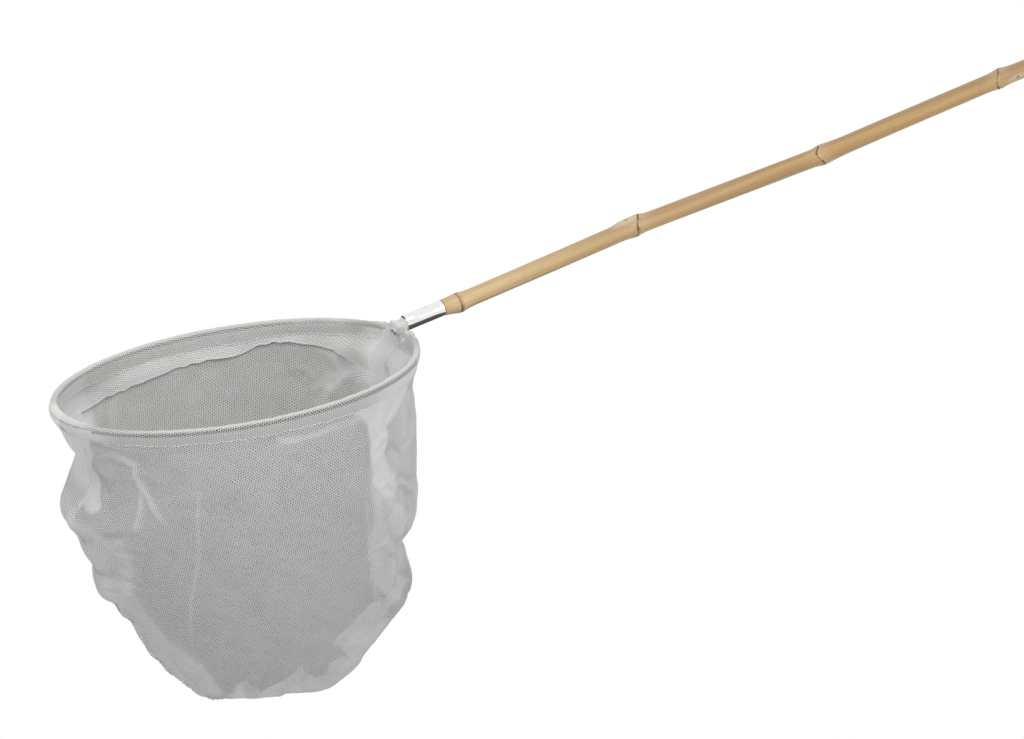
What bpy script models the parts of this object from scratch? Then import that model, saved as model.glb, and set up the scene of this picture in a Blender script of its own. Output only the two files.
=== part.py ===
"""A pond net: a netting bag sewn on a wire hoop, with a bamboo cane for a handle.

Metres, +Z up. The net is held as in use: the cane rises towards +X, the hoop leans a little with it and the
bag hangs straight down. The origin is on the cane's axis, where a hand grips it.
"""

import math

import bmesh
import bpy
from mathutils import Vector

# Hoop, one length of round wire with both ends turned out into tangs
HOOP_DIAMETER = 0.250
WIRE_DIAMETER = 0.0035
HOOP_TILT = math.radians(8.4)
TANG_LENGTH = 0.022
TANG_BEND = 0.0050
TANG_EASE = 0.55
HOOP_STEPS = 64
BEND_STEPS = 7
WIRE_FACETS = 2

# Handle, which leaves the hoop a little above its plane
HANDLE_RISE = math.radians(15.9)
HANDLE_LIFT = 0.0055
HANDLE_STANDOFF = 0.0050

# Ferrule, a plain tube over the tangs and the cane's end
FERRULE_DIAMETER = 0.0116
FERRULE_WALL = 0.0005
FERRULE_LENGTH = 0.0300
FERRULE_EDGE = 0.00015
FERRULE_STEPS = 28

# Cane, with its nodes counted from the ferrule
CANE_TIP_DIAMETER = 0.0124
CANE_BUTT_DIAMETER = 0.0140
SPIGOT_SETBACK = 0.0030
FIRST_NODE = 0.0115
INTERNODES = (0.149, 0.160, 0.163, 0.158, 0.162)
NODE_CROOK = (-0.0011, 0.0018, -0.0018, 0.0009, -0.0012, 0.0)
BUTT_LENGTH = 0.045
NODE_SWELL = 0.0010
NODE_GROOVE = 0.0005
NODE_REACH = 0.0130
CANE_EDGE = 0.00015
SHOULDER_STEP = 0.0002
HOLLOW_DIAMETER = 0.0045
DIAPHRAGM = 0.006
CANE_FACETS = 6
HOLE_FACETS = 16
GRIP_FROM_BUTT = 0.120

# A node's outline: shares of its reach along the cane, with shares of its swelling
NODE_OUTLINE = (
    (-1.0, 0.0),
    (-0.35, 0.45),
    (-0.12, 1.0),
    (-0.06, 1.0),
    (0.0, 1.0 - NODE_GROOVE / NODE_SWELL),
    (0.06, 1.1),
    (0.14, 1.0),
    (0.45, 0.35),
    (1.0, 0.0),
)

# Bag, two U-shaped panels of netting sewn together in the plane of the handle
BAG_DEPTH = 0.227
BAG_FULLNESS = 0.004
BAG_SHIFT = 0.020
BAG_CORNER = 2.2
FOOT_WIDTH = 0.080
FOOT_SLOPE = 0.055
BAG_BELLY = 2.2
BAG_KEEL = 0.75
BAG_LENS = 0.6
NET_THICKNESS = 0.0006
HEM_DEPTH = 0.020
STITCH_DEPTH = 0.009
HEM_END = 0.0015
SEAM_RIDGE = 0.003
SEAM_START = 0.0005
SEAM_CLOSES = 0.020
SEAM_WIDENS = 0.027
DENT_STARTS = 0.018
DENT_HUGS = 8
PANEL_COLUMNS = 30
WALL_ROWS = 20
HEM_ARC_STEPS = 6

# Where the soft seam hangs in or out of its fair line: far seam -1 or near seam 1, level, reach, then the
# distance out as a share of the hoop's radius
SEAM_DENTS = (
    (-1, 0.185, 0.045, -0.168),
    (-1, 0.31, 0.05, 0.028),
    (-1, 0.55, 0.05, 0.024),
    (1, 0.30, 0.14, -0.044),
    (1, 0.53, 0.035, -0.032),
    (1, 0.70, 0.07, 0.124),
)

# Where a panel swells: front -1 or back 1, share across, level, reach across, reach down, then the height as
# a share of the hoop's radius
PANEL_SWELLS = (
    (-1, 0.22, 0.85, 0.12, 0.20, 0.040),
    (-1, 0.24, 0.34, 0.08, 0.24, 0.024),
    (-1, 0.87, 0.40, 0.08, 0.13, 0.024),
)

# Sewing thread
THREAD_DIAMETER = 0.0006
THREAD_FACETS = 0
STITCH_STEPS = 60
SEAM_STITCH_ROW = 3

# The gap that touching pieces keep
FIT_CLEARANCE = 0.0003

# Edges sharper than this are drawn as edges
SMOOTH_ANGLE = math.radians(35)

HOOP_RADIUS = HOOP_DIAMETER / 2
WIRE_RADIUS = WIRE_DIAMETER / 2
FERRULE_RADIUS = FERRULE_DIAMETER / 2
FERRULE_BORE = FERRULE_RADIUS - FERRULE_WALL
SPIGOT_RADIUS = FERRULE_BORE - FIT_CLEARANCE
TANG_OFFSET = FERRULE_BORE - FIT_CLEARANCE - WIRE_RADIUS
GROOVE_RADIUS = WIRE_RADIUS + FIT_CLEARANCE
BEND_ANGLE = math.asin((TANG_OFFSET + TANG_BEND) / HOOP_RADIUS)
HEM_RADIUS = WIRE_RADIUS + FIT_CLEARANCE + NET_THICKNESS / 2
HALF_LAYER = (NET_THICKNESS + FIT_CLEARANCE) / 2
FOOT_REACH = (1 - (FOOT_WIDTH / HOOP_DIAMETER) ** BAG_CORNER) ** (1 / BAG_CORNER)
HEM_LEVEL = HEM_DEPTH / BAG_DEPTH
STITCH_LEVEL = STITCH_DEPTH / BAG_DEPTH
HEM_ROWS = 3 + HEM_ARC_STEPS
HEM_START = BEND_ANGLE + 2 * HEM_END / HOOP_RADIUS
HEM_FAR = (HEM_END + FIT_CLEARANCE / 2) / HOOP_RADIUS

# Handle stations, measured along its axis from the ferrule's mouth
CANE_START = SPIGOT_SETBACK
SHOULDER = FERRULE_LENGTH + FIT_CLEARANCE
NODES = [SHOULDER + FIRST_NODE]
for internode in INTERNODES:
    NODES.append(NODES[-1] + internode)
CANE_END = NODES[-1] + BUTT_LENGTH

HOOP_OUT = Vector((math.cos(HOOP_TILT), 0, math.sin(HOOP_TILT)))
HOOP_UP = Vector((-math.sin(HOOP_TILT), 0, math.cos(HOOP_TILT)))
SIDEWAYS = Vector((0, 1, 0))
DOWN = Vector((0, 0, -1))
HANDLE_ALONG = Vector((math.cos(HANDLE_RISE), 0, math.sin(HANDLE_RISE)))
HANDLE_START = HOOP_OUT * (HOOP_RADIUS + HANDLE_STANDOFF) + HOOP_UP * HANDLE_LIFT
GRIP = HANDLE_START + HANDLE_ALONG * (CANE_END - GRIP_FROM_BUTT)


def clear_scene():
    for old in list(bpy.data.objects):
        bpy.data.objects.remove(old, do_unlink=True)


def new_collection(name):
    made = bpy.data.collections.new(name)
    bpy.context.scene.collection.children.link(made)
    return made


def new_material(name, colour, roughness, metallic=0.0):
    made = bpy.data.materials.new(name)
    made.use_nodes = True
    shader = made.node_tree.nodes["Principled BSDF"]
    shader.inputs["Base Color"].default_value = (*colour, 1)
    shader.inputs["Roughness"].default_value = roughness
    shader.inputs["Metallic"].default_value = metallic
    return made


def new_frame(name, parent, location, turn_about_y):
    """An empty that the pieces of one direction hang from."""
    made = bpy.data.objects.new(name, None)
    made.parent = parent
    made.location = location
    made.rotation_euler = (0, turn_about_y, 0)
    parts.objects.link(made)
    return made


def new_piece(name, data, parent, material, collection=None):
    made = bpy.data.objects.new(name, data)
    made.parent = parent
    (collection or parts).objects.link(made)
    data.materials.append(material)
    return made


def new_tube(name, points, radii, facets, parent, material):
    """A capped tube through the points, with a radius at each."""
    curve = bpy.data.curves.new(name, "CURVE")
    curve.dimensions = "3D"
    curve.bevel_depth = max(radii)
    curve.bevel_resolution = facets
    curve.use_fill_caps = True
    spline = curve.splines.new("POLY")
    spline.points.add(len(points) - 1)
    for knot, point, radius in zip(spline.points, points, radii):
        knot.co = (*point, 1)
        knot.radius = radius / max(radii)
    return new_piece(name, curve, parent, material)


def as_mesh(tube):
    """Turns a tube into a mesh with its caps welded on, so that it can be cut."""
    bpy.context.view_layer.update()
    graph = bpy.context.evaluated_depsgraph_get()
    mesh = bpy.data.meshes.new_from_object(tube.evaluated_get(graph))
    welded = bmesh.new()
    welded.from_mesh(mesh)
    bmesh.ops.remove_doubles(welded, verts=welded.verts, dist=1e-6)
    bmesh.ops.recalc_face_normals(welded, faces=welded.faces)
    welded.to_mesh(mesh)
    welded.free()
    name = tube.name
    parent = tube.parent
    place = tube.matrix_world.copy()
    bpy.data.objects.remove(tube)
    made = bpy.data.objects.new(name, mesh)
    made.parent = parent
    parts.objects.link(made)
    bpy.context.view_layer.update()
    made.matrix_world = place
    return made


def cut_round_hole(piece, name, radius, start, end, sideways=0.0):
    """Cuts a round hole along the handle's axis, between two stations."""
    mesh = bpy.data.meshes.new(name)
    shape = bmesh.new()
    bmesh.ops.create_cone(
        shape, cap_ends=True, segments=HOLE_FACETS, radius1=radius, radius2=radius, depth=end - start
    )
    bmesh.ops.translate(shape, verts=shape.verts, vec=(0, sideways, (start + end) / 2))
    shape.to_mesh(mesh)
    shape.free()
    cutter = new_piece(name, mesh, piece.parent, cane_material, cutters)
    cutter.hide_render = True
    cutter.display_type = "WIRE"
    cut = piece.modifiers.new(name, "BOOLEAN")
    cut.operation = "DIFFERENCE"
    cut.solver = "EXACT"
    cut.object = cutter


def ease(value):
    """0 below 0, 1 above 1, and a smooth step between."""
    value = min(max(value, 0), 1)
    return value * value * (3 - 2 * value)


def bezier(start, start_handle, end_handle, end, t):
    s = 1 - t
    return start * s**3 + start_handle * 3 * s * s * t + end_handle * 3 * s * t * t + end * t**3


# Ferrule
def make_ferrule():
    """A turned tube with its edges just broken."""
    top = FERRULE_LENGTH
    profile = (
        (FERRULE_BORE + FERRULE_EDGE, top),
        (FERRULE_RADIUS - FERRULE_EDGE, top),
        (FERRULE_RADIUS, top - FERRULE_EDGE),
        (FERRULE_RADIUS, FERRULE_EDGE),
        (FERRULE_RADIUS - FERRULE_EDGE, 0),
        (FERRULE_BORE + FERRULE_EDGE, 0),
        (FERRULE_BORE, FERRULE_EDGE),
        (FERRULE_BORE, top - FERRULE_EDGE),
    )
    mesh = bpy.data.meshes.new("ferrule")
    outline = bmesh.new()
    corners = [outline.verts.new((x, 0, z)) for x, z in profile]
    for corner, following in zip(corners, corners[1:] + corners[:1]):
        outline.edges.new((corner, following))
    outline.to_mesh(mesh)
    outline.free()
    ferrule = new_piece("ferrule", mesh, handle_frame, plate_material)
    turn = ferrule.modifiers.new("turn", "SCREW")
    turn.axis = "Z"
    turn.steps = FERRULE_STEPS
    turn.render_steps = FERRULE_STEPS
    turn.use_merge_vertices = True
    turn.merge_threshold = 1e-5


# Hoop
def hoop_path():
    """Points along the wire, from one tang's end round the ring to the other's."""
    lean = HANDLE_RISE - HOOP_TILT
    along = Vector((math.cos(lean), 0, math.sin(lean)))
    mouth = Vector((HOOP_RADIUS + HANDLE_STANDOFF, 0, HANDLE_LIFT))

    def end_of(side):
        """Points from a tang's end to the ring."""
        tang = mouth + SIDEWAYS * side * TANG_OFFSET
        joins = Vector((HOOP_RADIUS * math.cos(BEND_ANGLE), side * HOOP_RADIUS * math.sin(BEND_ANGLE), 0))
        towards = Vector((math.sin(BEND_ANGLE), -side * math.cos(BEND_ANGLE), 0))
        pull = (tang - joins).length * TANG_EASE
        points = [tang + along * TANG_LENGTH, tang + along * TANG_LENGTH / 2]
        for step in range(BEND_STEPS):
            t = step / BEND_STEPS
            points.append(bezier(tang, tang - along * pull, joins + towards * pull, joins, t))
        return points

    ring = []
    sweep = 2 * math.pi - 2 * BEND_ANGLE
    for step in range(HOOP_STEPS + 1):
        angle = BEND_ANGLE + sweep * step / HOOP_STEPS
        ring.append(Vector((math.cos(angle), math.sin(angle), 0)) * HOOP_RADIUS)
    return end_of(1) + ring + end_of(-1)[::-1]


def make_hoop():
    path = hoop_path()
    radii = [WIRE_RADIUS] * len(path)
    new_tube("hoop_wire", path, radii, WIRE_FACETS, hoop_frame, wire_material)


# Cane
def cane_crook(station):
    """How far the cane's middle lies above the handle's straight axis: its internodes are straight."""
    stations = [SHOULDER, *NODES, CANE_END]
    heights = [0.0, *NODE_CROOK, 0.0]
    if station <= SHOULDER:
        return 0.0
    for low, high, start, end in zip(stations, stations[1:], heights, heights[1:]):
        if station <= high:
            return start + (end - start) * (station - low) / (high - low)
    return heights[-1]


def cane_profile():
    """(station, radius) pairs: spigot, shoulder, then a swelling with its ring groove at each node."""
    tip = CANE_TIP_DIAMETER / 2
    butt = CANE_BUTT_DIAMETER / 2

    def plain(station):
        return tip + (butt - tip) * (station - SHOULDER) / (CANE_END - SHOULDER)

    profile = [
        (CANE_START, SPIGOT_RADIUS),
        ((CANE_START + SHOULDER) / 2, SPIGOT_RADIUS),
        (SHOULDER, SPIGOT_RADIUS),
        (SHOULDER + SHOULDER_STEP, FERRULE_RADIUS),
    ]
    for node in NODES:
        for share, swell in NODE_OUTLINE:
            station = node + share * NODE_REACH
            if station > SHOULDER + 2 * SHOULDER_STEP:
                profile.append((station, plain(station) + swell * NODE_SWELL))
    profile.append((CANE_END - CANE_EDGE, butt))
    profile.append((CANE_END, butt - CANE_EDGE))
    return profile


def make_cane():
    profile = cane_profile()
    path = [Vector((-cane_crook(station), 0, station)) for station, radius in profile]
    radii = [radius for station, radius in profile]
    cane = as_mesh(new_tube("bamboo_cane", path, radii, CANE_FACETS, handle_frame, cane_material))
    tang_end = TANG_LENGTH + FIT_CLEARANCE
    for side, name in ((1, "tang_groove_left"), (-1, "tang_groove_right")):
        cut_round_hole(cane, name, GROOVE_RADIUS, 0, tang_end, side * TANG_OFFSET)
    hollow_start = NODES[-1] + DIAPHRAGM
    cut_round_hole(cane, "cane_hollow", HOLLOW_DIAMETER / 2, hollow_start, CANE_END + BUTT_LENGTH)


# Bag
def bag_half_width(level):
    """Half the bag's width along the handle, at a level from 0 at the hoop to 1 at the bottom seam."""
    fuller = HOOP_RADIUS + BAG_FULLNESS * ease(2 * level)
    return fuller * (1 - (FOOT_REACH * level) ** BAG_CORNER) ** (1 / BAG_CORNER)


def bag_half_thickness(level):
    """Half the bag's thickness across the handle: a round mouth that closes to a flat bottom seam."""
    return HOOP_RADIUS * (1 - level**BAG_BELLY) ** BAG_KEEL


def bump(away, reach):
    """1 in the middle of a dent or swelling, and little beyond its reach."""
    return math.exp(-((away / reach) ** 2))


def seam_dent(end, level):
    """How far a side seam hangs out of its fair line, starting under the hem."""
    out = sum(deep * bump(level - at, reach) for side, at, reach, deep in SEAM_DENTS if side == end)
    return HOOP_RADIUS * out * ease((level - HEM_LEVEL) * BAG_DEPTH / DENT_STARTS)


def panel_swell(angle, level, panel):
    """How far a panel stands out of its fair form."""
    share = angle / math.pi
    out = 0
    for side, across, at, reach_across, reach_down, high in PANEL_SWELLS:
        if side == panel:
            out += high * bump(share - across, reach_across) * bump(level - at, reach_down)
    return HOOP_RADIUS * out


def bag_point(angle, level, side, layer):
    """A point of a panel by its angle round the bag, with the layer's distance outside the bag's own form."""
    tilt = HOOP_TILT * (1 - level) ** 2
    facing = math.cos(angle)
    end = math.copysign(1, facing)
    across = (bag_half_width(level) + layer) * facing + end * seam_dent(end, level) * abs(facing) ** DENT_HUGS
    bulge = max(math.sin(angle), 0) ** (1 + BAG_LENS * ease(level))
    clear_of_seam = max(layer, layer * bulge)
    out = (bag_half_thickness(level) + panel_swell(angle, level, side)) * bulge + clear_of_seam
    middle = Vector((BAG_SHIFT * ease(level), 0, -BAG_DEPTH * level))
    level_line = Vector((math.cos(tilt), 0, math.sin(tilt)))
    point = middle + level_line * across + SIDEWAYS * side * out
    return point + DOWN * FOOT_SLOPE * point.x * level**3


def wall_point(share, level, side):
    """A point of a panel's wall. share runs from the handle's seam, 0, to the far seam, 1."""
    opened = 1 - ease((level - STITCH_LEVEL) * BAG_DEPTH / SEAM_CLOSES)
    near_end = HEM_START * opened
    far_end = HEM_FAR * opened
    angle = near_end + (math.pi - near_end - far_end) * share
    return bag_point(angle, level, side, HALF_LAYER)


def seam_outward(share, level, side):
    """The direction in the seam's plane that points away from the bag, at either side seam."""
    step = 1 / WALL_ROWS / 4
    down = wall_point(share, min(level + step, 1), side) - wall_point(share, max(level - step, 0), side)
    outward = Vector((-down.z, 0, down.x)).normalized()
    return outward if share == 0 else -outward


def seam_width(level):
    """How far the seam's ridge stands out, which starts from nothing under the hem."""
    widened = ease((level - STITCH_LEVEL) * BAG_DEPTH / SEAM_WIDENS)
    return SEAM_START + (SEAM_RIDGE - SEAM_START) * widened


def hem_point(share, row, side):
    """A point of the hem, from its raw edge inside the bag up over the wire."""
    angle = HEM_START + (math.pi - HEM_START - HEM_FAR) * share
    if row < 2:
        return bag_point(angle, (HEM_LEVEL, STITCH_LEVEL)[row], side, -HALF_LAYER)
    radial = HOOP_OUT * math.cos(angle) + SIDEWAYS * side * math.sin(angle)
    wire = radial * HOOP_RADIUS
    turn = math.pi * (1 - (row - 2) / HEM_ARC_STEPS)
    return wire + radial * HEM_RADIUS * math.cos(turn) + HOOP_UP * HEM_RADIUS * math.sin(turn)


def wall_level(share):
    """Levels from the hem's stitching, 0, to the bottom seam, 1, closer together towards the seam's bend."""
    return STITCH_LEVEL + (1 - STITCH_LEVEL) * share * (4 - share * share) / 3


def panel_point(column, row, side):
    """A point of a panel's grid. The first and last columns and the last row are the seam's ridge."""
    share = min(max((column - 1) / (PANEL_COLUMNS - 2), 0), 1)
    beyond_side = column in (0, PANEL_COLUMNS)
    if row < HEM_ROWS:
        point = hem_point(share, row, side)
        return point - SIDEWAYS * side * HEM_END if beyond_side else point
    below = row == HEM_ROWS + WALL_ROWS
    level = wall_level(min((row - HEM_ROWS) / (WALL_ROWS - 1), 1))
    point = wall_point(share, level, side)
    outward = Vector((0, 0, 0))
    if beyond_side:
        outward += seam_outward(share, level, side)
    if below:
        outward += DOWN
    return point + outward.normalized() * seam_width(level)


def make_panel(name, side):
    """A grid bent to the panel's shape, then given the netting's thickness."""
    rows = HEM_ROWS + WALL_ROWS
    mesh = bpy.data.meshes.new(name)
    grid = bmesh.new()
    bmesh.ops.create_grid(grid, x_segments=PANEL_COLUMNS, y_segments=rows, size=1)
    for corner in grid.verts:
        column = round((corner.co.x + 1) / 2 * PANEL_COLUMNS)
        row = round((corner.co.y + 1) / 2 * rows)
        corner.co = panel_point(column, row, side)
    if side > 0:
        bmesh.ops.reverse_faces(grid, faces=grid.faces)
    grid.to_mesh(mesh)
    grid.free()
    mesh.shade_smooth()
    panel = new_piece(name, mesh, net_frame, netting_material)
    wall = panel.modifiers.new("netting", "SOLIDIFY")
    wall.thickness = NET_THICKNESS
    wall.offset = 0
    wall.use_even_offset = True


# Stitching
def make_hem_stitching():
    """One line of thread round the outside of the hem, just under the wire."""
    out = NET_THICKNESS / 2 + SEAM_START + FIT_CLEARANCE + THREAD_DIAMETER / 2
    path = []
    for side in (-1, 1):
        for step in range(STITCH_STEPS):
            share = step / (STITCH_STEPS - 1)
            share = share if side < 0 else 1 - share
            point = wall_point(share, STITCH_LEVEL, side)
            away = Vector((point.x, point.y, 0)).normalized()
            path.append(point + away * out)
    radii = [THREAD_DIAMETER / 2] * len(path)
    new_tube("hem_stitching", path, radii, THREAD_FACETS, net_frame, thread_material)


def make_seam_stitching():
    """One line of thread along the middle of the seam's ridge, on the front panel."""
    out = SIDEWAYS * -(NET_THICKNESS / 2 + FIT_CLEARANCE + THREAD_DIAMETER / 2)
    bottom = HEM_ROWS + WALL_ROWS
    first = HEM_ROWS + SEAM_STITCH_ROW

    def on_ridge(edge, inside):
        """The middle between a (column, row) on the ridge's edge and the one inside it."""
        return (panel_point(*edge, -1) + panel_point(*inside, -1)) / 2 + out

    near = [on_ridge((0, row), (1, row)) for row in range(first, bottom - 1)]
    near.append(on_ridge((0, bottom), (1, bottom - 1)))
    foot = [on_ridge((column, bottom), (column, bottom - 1)) for column in range(2, PANEL_COLUMNS - 1)]
    far = [on_ridge((PANEL_COLUMNS, row), (PANEL_COLUMNS - 1, row)) for row in range(first, bottom - 1)]
    far.append(on_ridge((PANEL_COLUMNS, bottom), (PANEL_COLUMNS - 1, bottom - 1)))
    path = near + foot + far[::-1]
    radii = [THREAD_DIAMETER / 2] * len(path)
    new_tube("seam_stitching", path, radii, THREAD_FACETS, net_frame, thread_material)


clear_scene()
parts = new_collection("pond_net")
cutters = new_collection("pond_net_cutters")

cane_material = new_material("bamboo", (0.52, 0.36, 0.18), 0.42)
plate_material = new_material("bright_plate", (0.80, 0.80, 0.78), 0.12, 1.0)
wire_material = new_material("galvanised_wire", (0.62, 0.63, 0.62), 0.35, 1.0)
netting_material = new_material("white_netting", (0.62, 0.62, 0.62), 0.75)
thread_material = new_material("white_thread", (0.80, 0.80, 0.79), 0.70)

net_frame = new_frame("net_frame", None, -GRIP, 0)
hoop_frame = new_frame("hoop_frame", net_frame, (0, 0, 0), -HOOP_TILT)
handle_frame = new_frame("handle_frame", net_frame, HANDLE_START, math.pi / 2 - HANDLE_RISE)

make_ferrule()
make_hoop()
make_cane()
make_panel("front_net_panel", -1)
make_panel("back_net_panel", 1)
make_hem_stitching()
make_seam_stitching()

for piece in parts.objects:
    if piece.type == "MESH":
        piece.data.shade_smooth()
        piece.data.set_sharp_from_angle(angle=SMOOTH_ANGLE)
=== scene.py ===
"""The looks of a pond net: a netting bag sewn on a wire hoop, with a bamboo cane for a handle.

Metres, +Z up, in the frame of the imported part: the origin is on the cane's axis, at the grip.
"""

import math

import bmesh
import bpy
import numpy as np
from mathutils import Matrix, Vector


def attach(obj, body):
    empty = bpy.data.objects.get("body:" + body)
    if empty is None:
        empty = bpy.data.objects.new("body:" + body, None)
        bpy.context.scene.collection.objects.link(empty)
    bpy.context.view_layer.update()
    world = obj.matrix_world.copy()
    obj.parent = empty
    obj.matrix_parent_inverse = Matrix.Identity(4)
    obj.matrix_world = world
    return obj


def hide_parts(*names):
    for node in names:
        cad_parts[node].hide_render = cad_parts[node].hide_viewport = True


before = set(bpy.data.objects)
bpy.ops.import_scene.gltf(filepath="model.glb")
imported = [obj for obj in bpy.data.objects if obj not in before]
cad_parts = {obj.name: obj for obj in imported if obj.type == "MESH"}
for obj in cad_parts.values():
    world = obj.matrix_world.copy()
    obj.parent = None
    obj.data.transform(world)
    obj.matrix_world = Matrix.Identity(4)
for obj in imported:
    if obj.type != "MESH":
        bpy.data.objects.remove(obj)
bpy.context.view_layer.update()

# Hoop wire: one length of zinc-coated spring wire, bent to a ring on a former.
# Both ends are turned out side by side as tangs, and the ferrule grips them.
handle_rise = math.radians(15.9)
handle_along = Vector((math.cos(handle_rise), 0, math.sin(handle_rise)))
grip_station = 0.7588
ferrule_mouth = -handle_along * grip_station
hoop_radius = 0.125
hoop_tilt = math.radians(8.4)
hoop_out = Vector((math.cos(hoop_tilt), 0, math.sin(hoop_tilt)))
hoop_up = Vector((-math.sin(hoop_tilt), 0, math.cos(hoop_tilt)))
wire_radius = 0.00175
wire_facets = 16
ring_steps = 192
tang_offset = 0.00325
tang_length = 0.022
tang_lift = 0.0055
tang_standoff = 0.005
tang_bend = 0.005
tang_ease = 0.55
tang_steps = 10
hoop_middle = ferrule_mouth - hoop_out * (hoop_radius + tang_standoff) - hoop_up * tang_lift
bend_angle = math.asin((tang_offset + tang_bend) / hoop_radius)
crease_angle = math.radians(38)
zinc_dull = (0.40, 0.40, 0.39)
zinc_bright = (0.62, 0.62, 0.60)


class Value:
    """A number that varies over a finish. Arithmetic on it adds Math nodes."""

    def __init__(self, finish, socket):
        self.finish = finish
        self.socket = socket

    def math(self, operation, *others):
        values = {place: value for place, value in enumerate((self, *others))}
        return self.finish.node("ShaderNodeMath", {"operation": operation}, values)

    def __add__(self, other):
        return self.math("ADD", other)

    def __sub__(self, other):
        return self.math("SUBTRACT", other)

    def __mul__(self, other):
        return self.math("MULTIPLY", other)

    def __truediv__(self, other):
        return self.math("DIVIDE", other)

    def __rsub__(self, other):
        return self.finish.node("ShaderNodeMath", {"operation": "SUBTRACT"}, {0: other, 1: self})

    __radd__ = __add__
    __rmul__ = __mul__


class Nodes:
    """A node tree. One method adds a node: its type, its settings, then its sockets' values or links."""

    def __init__(self, tree):
        self.tree = tree

    def node(self, kind, settings=None, inputs=None, output=0):
        made = self.tree.nodes.new(kind)
        for setting, value in (settings or {}).items():
            setattr(made, setting, value)
        for socket, value in (inputs or {}).items():
            self.feed(made.inputs[socket], value)
        return Value(self, made.outputs[output])

    def feed(self, socket, value):
        if isinstance(value, Value):
            self.tree.links.new(value.socket, socket)
        elif isinstance(value, tuple) and len(value) == 3 and socket.type == "RGBA":
            socket.default_value = (*value, 1)
        else:
            socket.default_value = value

    def blend(self, factor, first, second):
        settings = {"data_type": "RGBA", "clamp_factor": True}
        return self.node("ShaderNodeMix", settings, {0: factor, 6: first, 7: second}, output=2)

    def step(self, value, low, high):
        """0 where the value is at low, 1 where it is at high, and smooth between."""
        settings = {"interpolation_type": "SMOOTHSTEP", "clamp": True}
        return self.node("ShaderNodeMapRange", settings, {"Value": value, "From Min": low, "From Max": high})

    def noise(self, vector, scale, detail=2.0, roughness=0.5):
        inputs = {"Vector": vector, "Scale": scale, "Detail": detail, "Roughness": roughness}
        return self.node("ShaderNodeTexNoise", {}, inputs)

    def place(self, turn=(0, 0, 0), scale=(1, 1, 1)):
        """Object coordinates, turned and then stretched."""
        seat = self.node("ShaderNodeTexCoord", output=3)
        turned = self.node("ShaderNodeMapping", {}, {"Vector": seat, "Rotation": turn})
        return self.node("ShaderNodeVectorMath", {"operation": "MULTIPLY"}, {0: turned, 1: scale})

    def part(self, vector, axis):
        """One of a vector's three numbers."""
        return self.node("ShaderNodeSeparateXYZ", {}, {0: vector}, output=axis)

    def attribute(self, name):
        return self.node("ShaderNodeAttribute", {"attribute_name": name}, output=2)

    def bump(self, height, strength, distance):
        inputs = {"Strength": strength, "Distance": distance, "Height": height}
        return self.node("ShaderNodeBump", {}, inputs)


class Finish(Nodes):
    """A material. Its shader's sockets are shown values by name, with _ for a space."""

    def __init__(self, name, **constants):
        self.material = bpy.data.materials.new(name)
        self.material.use_nodes = True
        super().__init__(self.material.node_tree)
        self.shader = self.tree.nodes["Principled BSDF"]
        self.show(**constants)

    def show(self, **channels):
        for channel, value in channels.items():
            self.feed(self.shader.inputs[channel.replace("_", " ")], value)


def add_object(name, shape):
    """Makes an object of a bmesh."""
    mesh = bpy.data.meshes.new(name)
    shape.to_mesh(mesh)
    shape.free()
    made = bpy.data.objects.new(name, mesh)
    bpy.context.scene.collection.objects.link(made)
    return made


def add_piece(name, shape, finish):
    """Makes a piece of a bmesh, smooth but for its sharp edges, and puts it on the only body."""
    piece = add_object(name, shape)
    piece.data.shade_smooth()
    piece.data.set_sharp_from_angle(angle=crease_angle)
    piece.data.materials.append(finish.material)
    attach(piece, "root")
    return piece


def bezier(start, start_handle, end_handle, end, t):
    s = 1 - t
    return start * s**3 + start_handle * 3 * s * s * t + end_handle * 3 * s * t * t + end * t**3


def tang_path(side):
    """Points from the ring to a tang's end, in the hoop's own plane."""
    lean = handle_rise - hoop_tilt
    along = Vector((math.cos(lean), 0, math.sin(lean)))
    tang = Vector((hoop_radius + tang_standoff, side * tang_offset, tang_lift))
    joins = Vector((math.cos(bend_angle), side * math.sin(bend_angle), 0)) * hoop_radius
    towards = Vector((math.sin(bend_angle), -side * math.cos(bend_angle), 0))
    pull = (tang - joins).length * tang_ease
    shares = [step / tang_steps for step in range(tang_steps + 1)]
    path = [bezier(joins, joins + towards * pull, tang - along * pull, tang, share) for share in shares]
    return path + [tang + along * tang_length]


wire = bmesh.new()
bmesh.ops.create_circle(wire, segments=wire_facets, radius=wire_radius)
bmesh.ops.rotate(wire, verts=wire.verts, matrix=Matrix.Rotation(math.pi / 2, 3, "X"))
bmesh.ops.translate(wire, verts=wire.verts, vec=(hoop_radius, 0, 0))
bmesh.ops.rotate(wire, verts=wire.verts, matrix=Matrix.Rotation(bend_angle, 3, "Z"))
start_edges = list(wire.edges)
swept = bmesh.ops.spin(
    wire, geom=wire.verts[:] + wire.edges[:], cent=(0, 0, 0), axis=(0, 0, 1), dvec=(0, 0, 0),
    angle=2 * math.pi - 2 * bend_angle, steps=ring_steps, use_merge=False,
)
end_edges = [part for part in swept["geom_last"] if isinstance(part, bmesh.types.BMEdge)]
for loop, side in ((start_edges, 1), (end_edges, -1)):
    path = tang_path(side)
    heading = Vector((math.sin(bend_angle), -side * math.cos(bend_angle), 0))
    for here, there in zip(path, path[1:]):
        grown = bmesh.ops.extrude_edge_only(wire, edges=loop)["geom"]
        tip = [part for part in grown if isinstance(part, bmesh.types.BMVert)]
        new_edges = [part for part in grown if isinstance(part, bmesh.types.BMEdge)]
        loop = [edge for edge in new_edges if all(corner in tip for corner in edge.verts)]
        turn = heading.rotation_difference((there - here).normalized()).to_matrix()
        bmesh.ops.rotate(wire, verts=tip, cent=here, matrix=turn)
        heading = (there - here).normalized()
        bmesh.ops.translate(wire, verts=tip, vec=there - here)
    bmesh.ops.contextual_create(wire, geom=loop)
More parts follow.
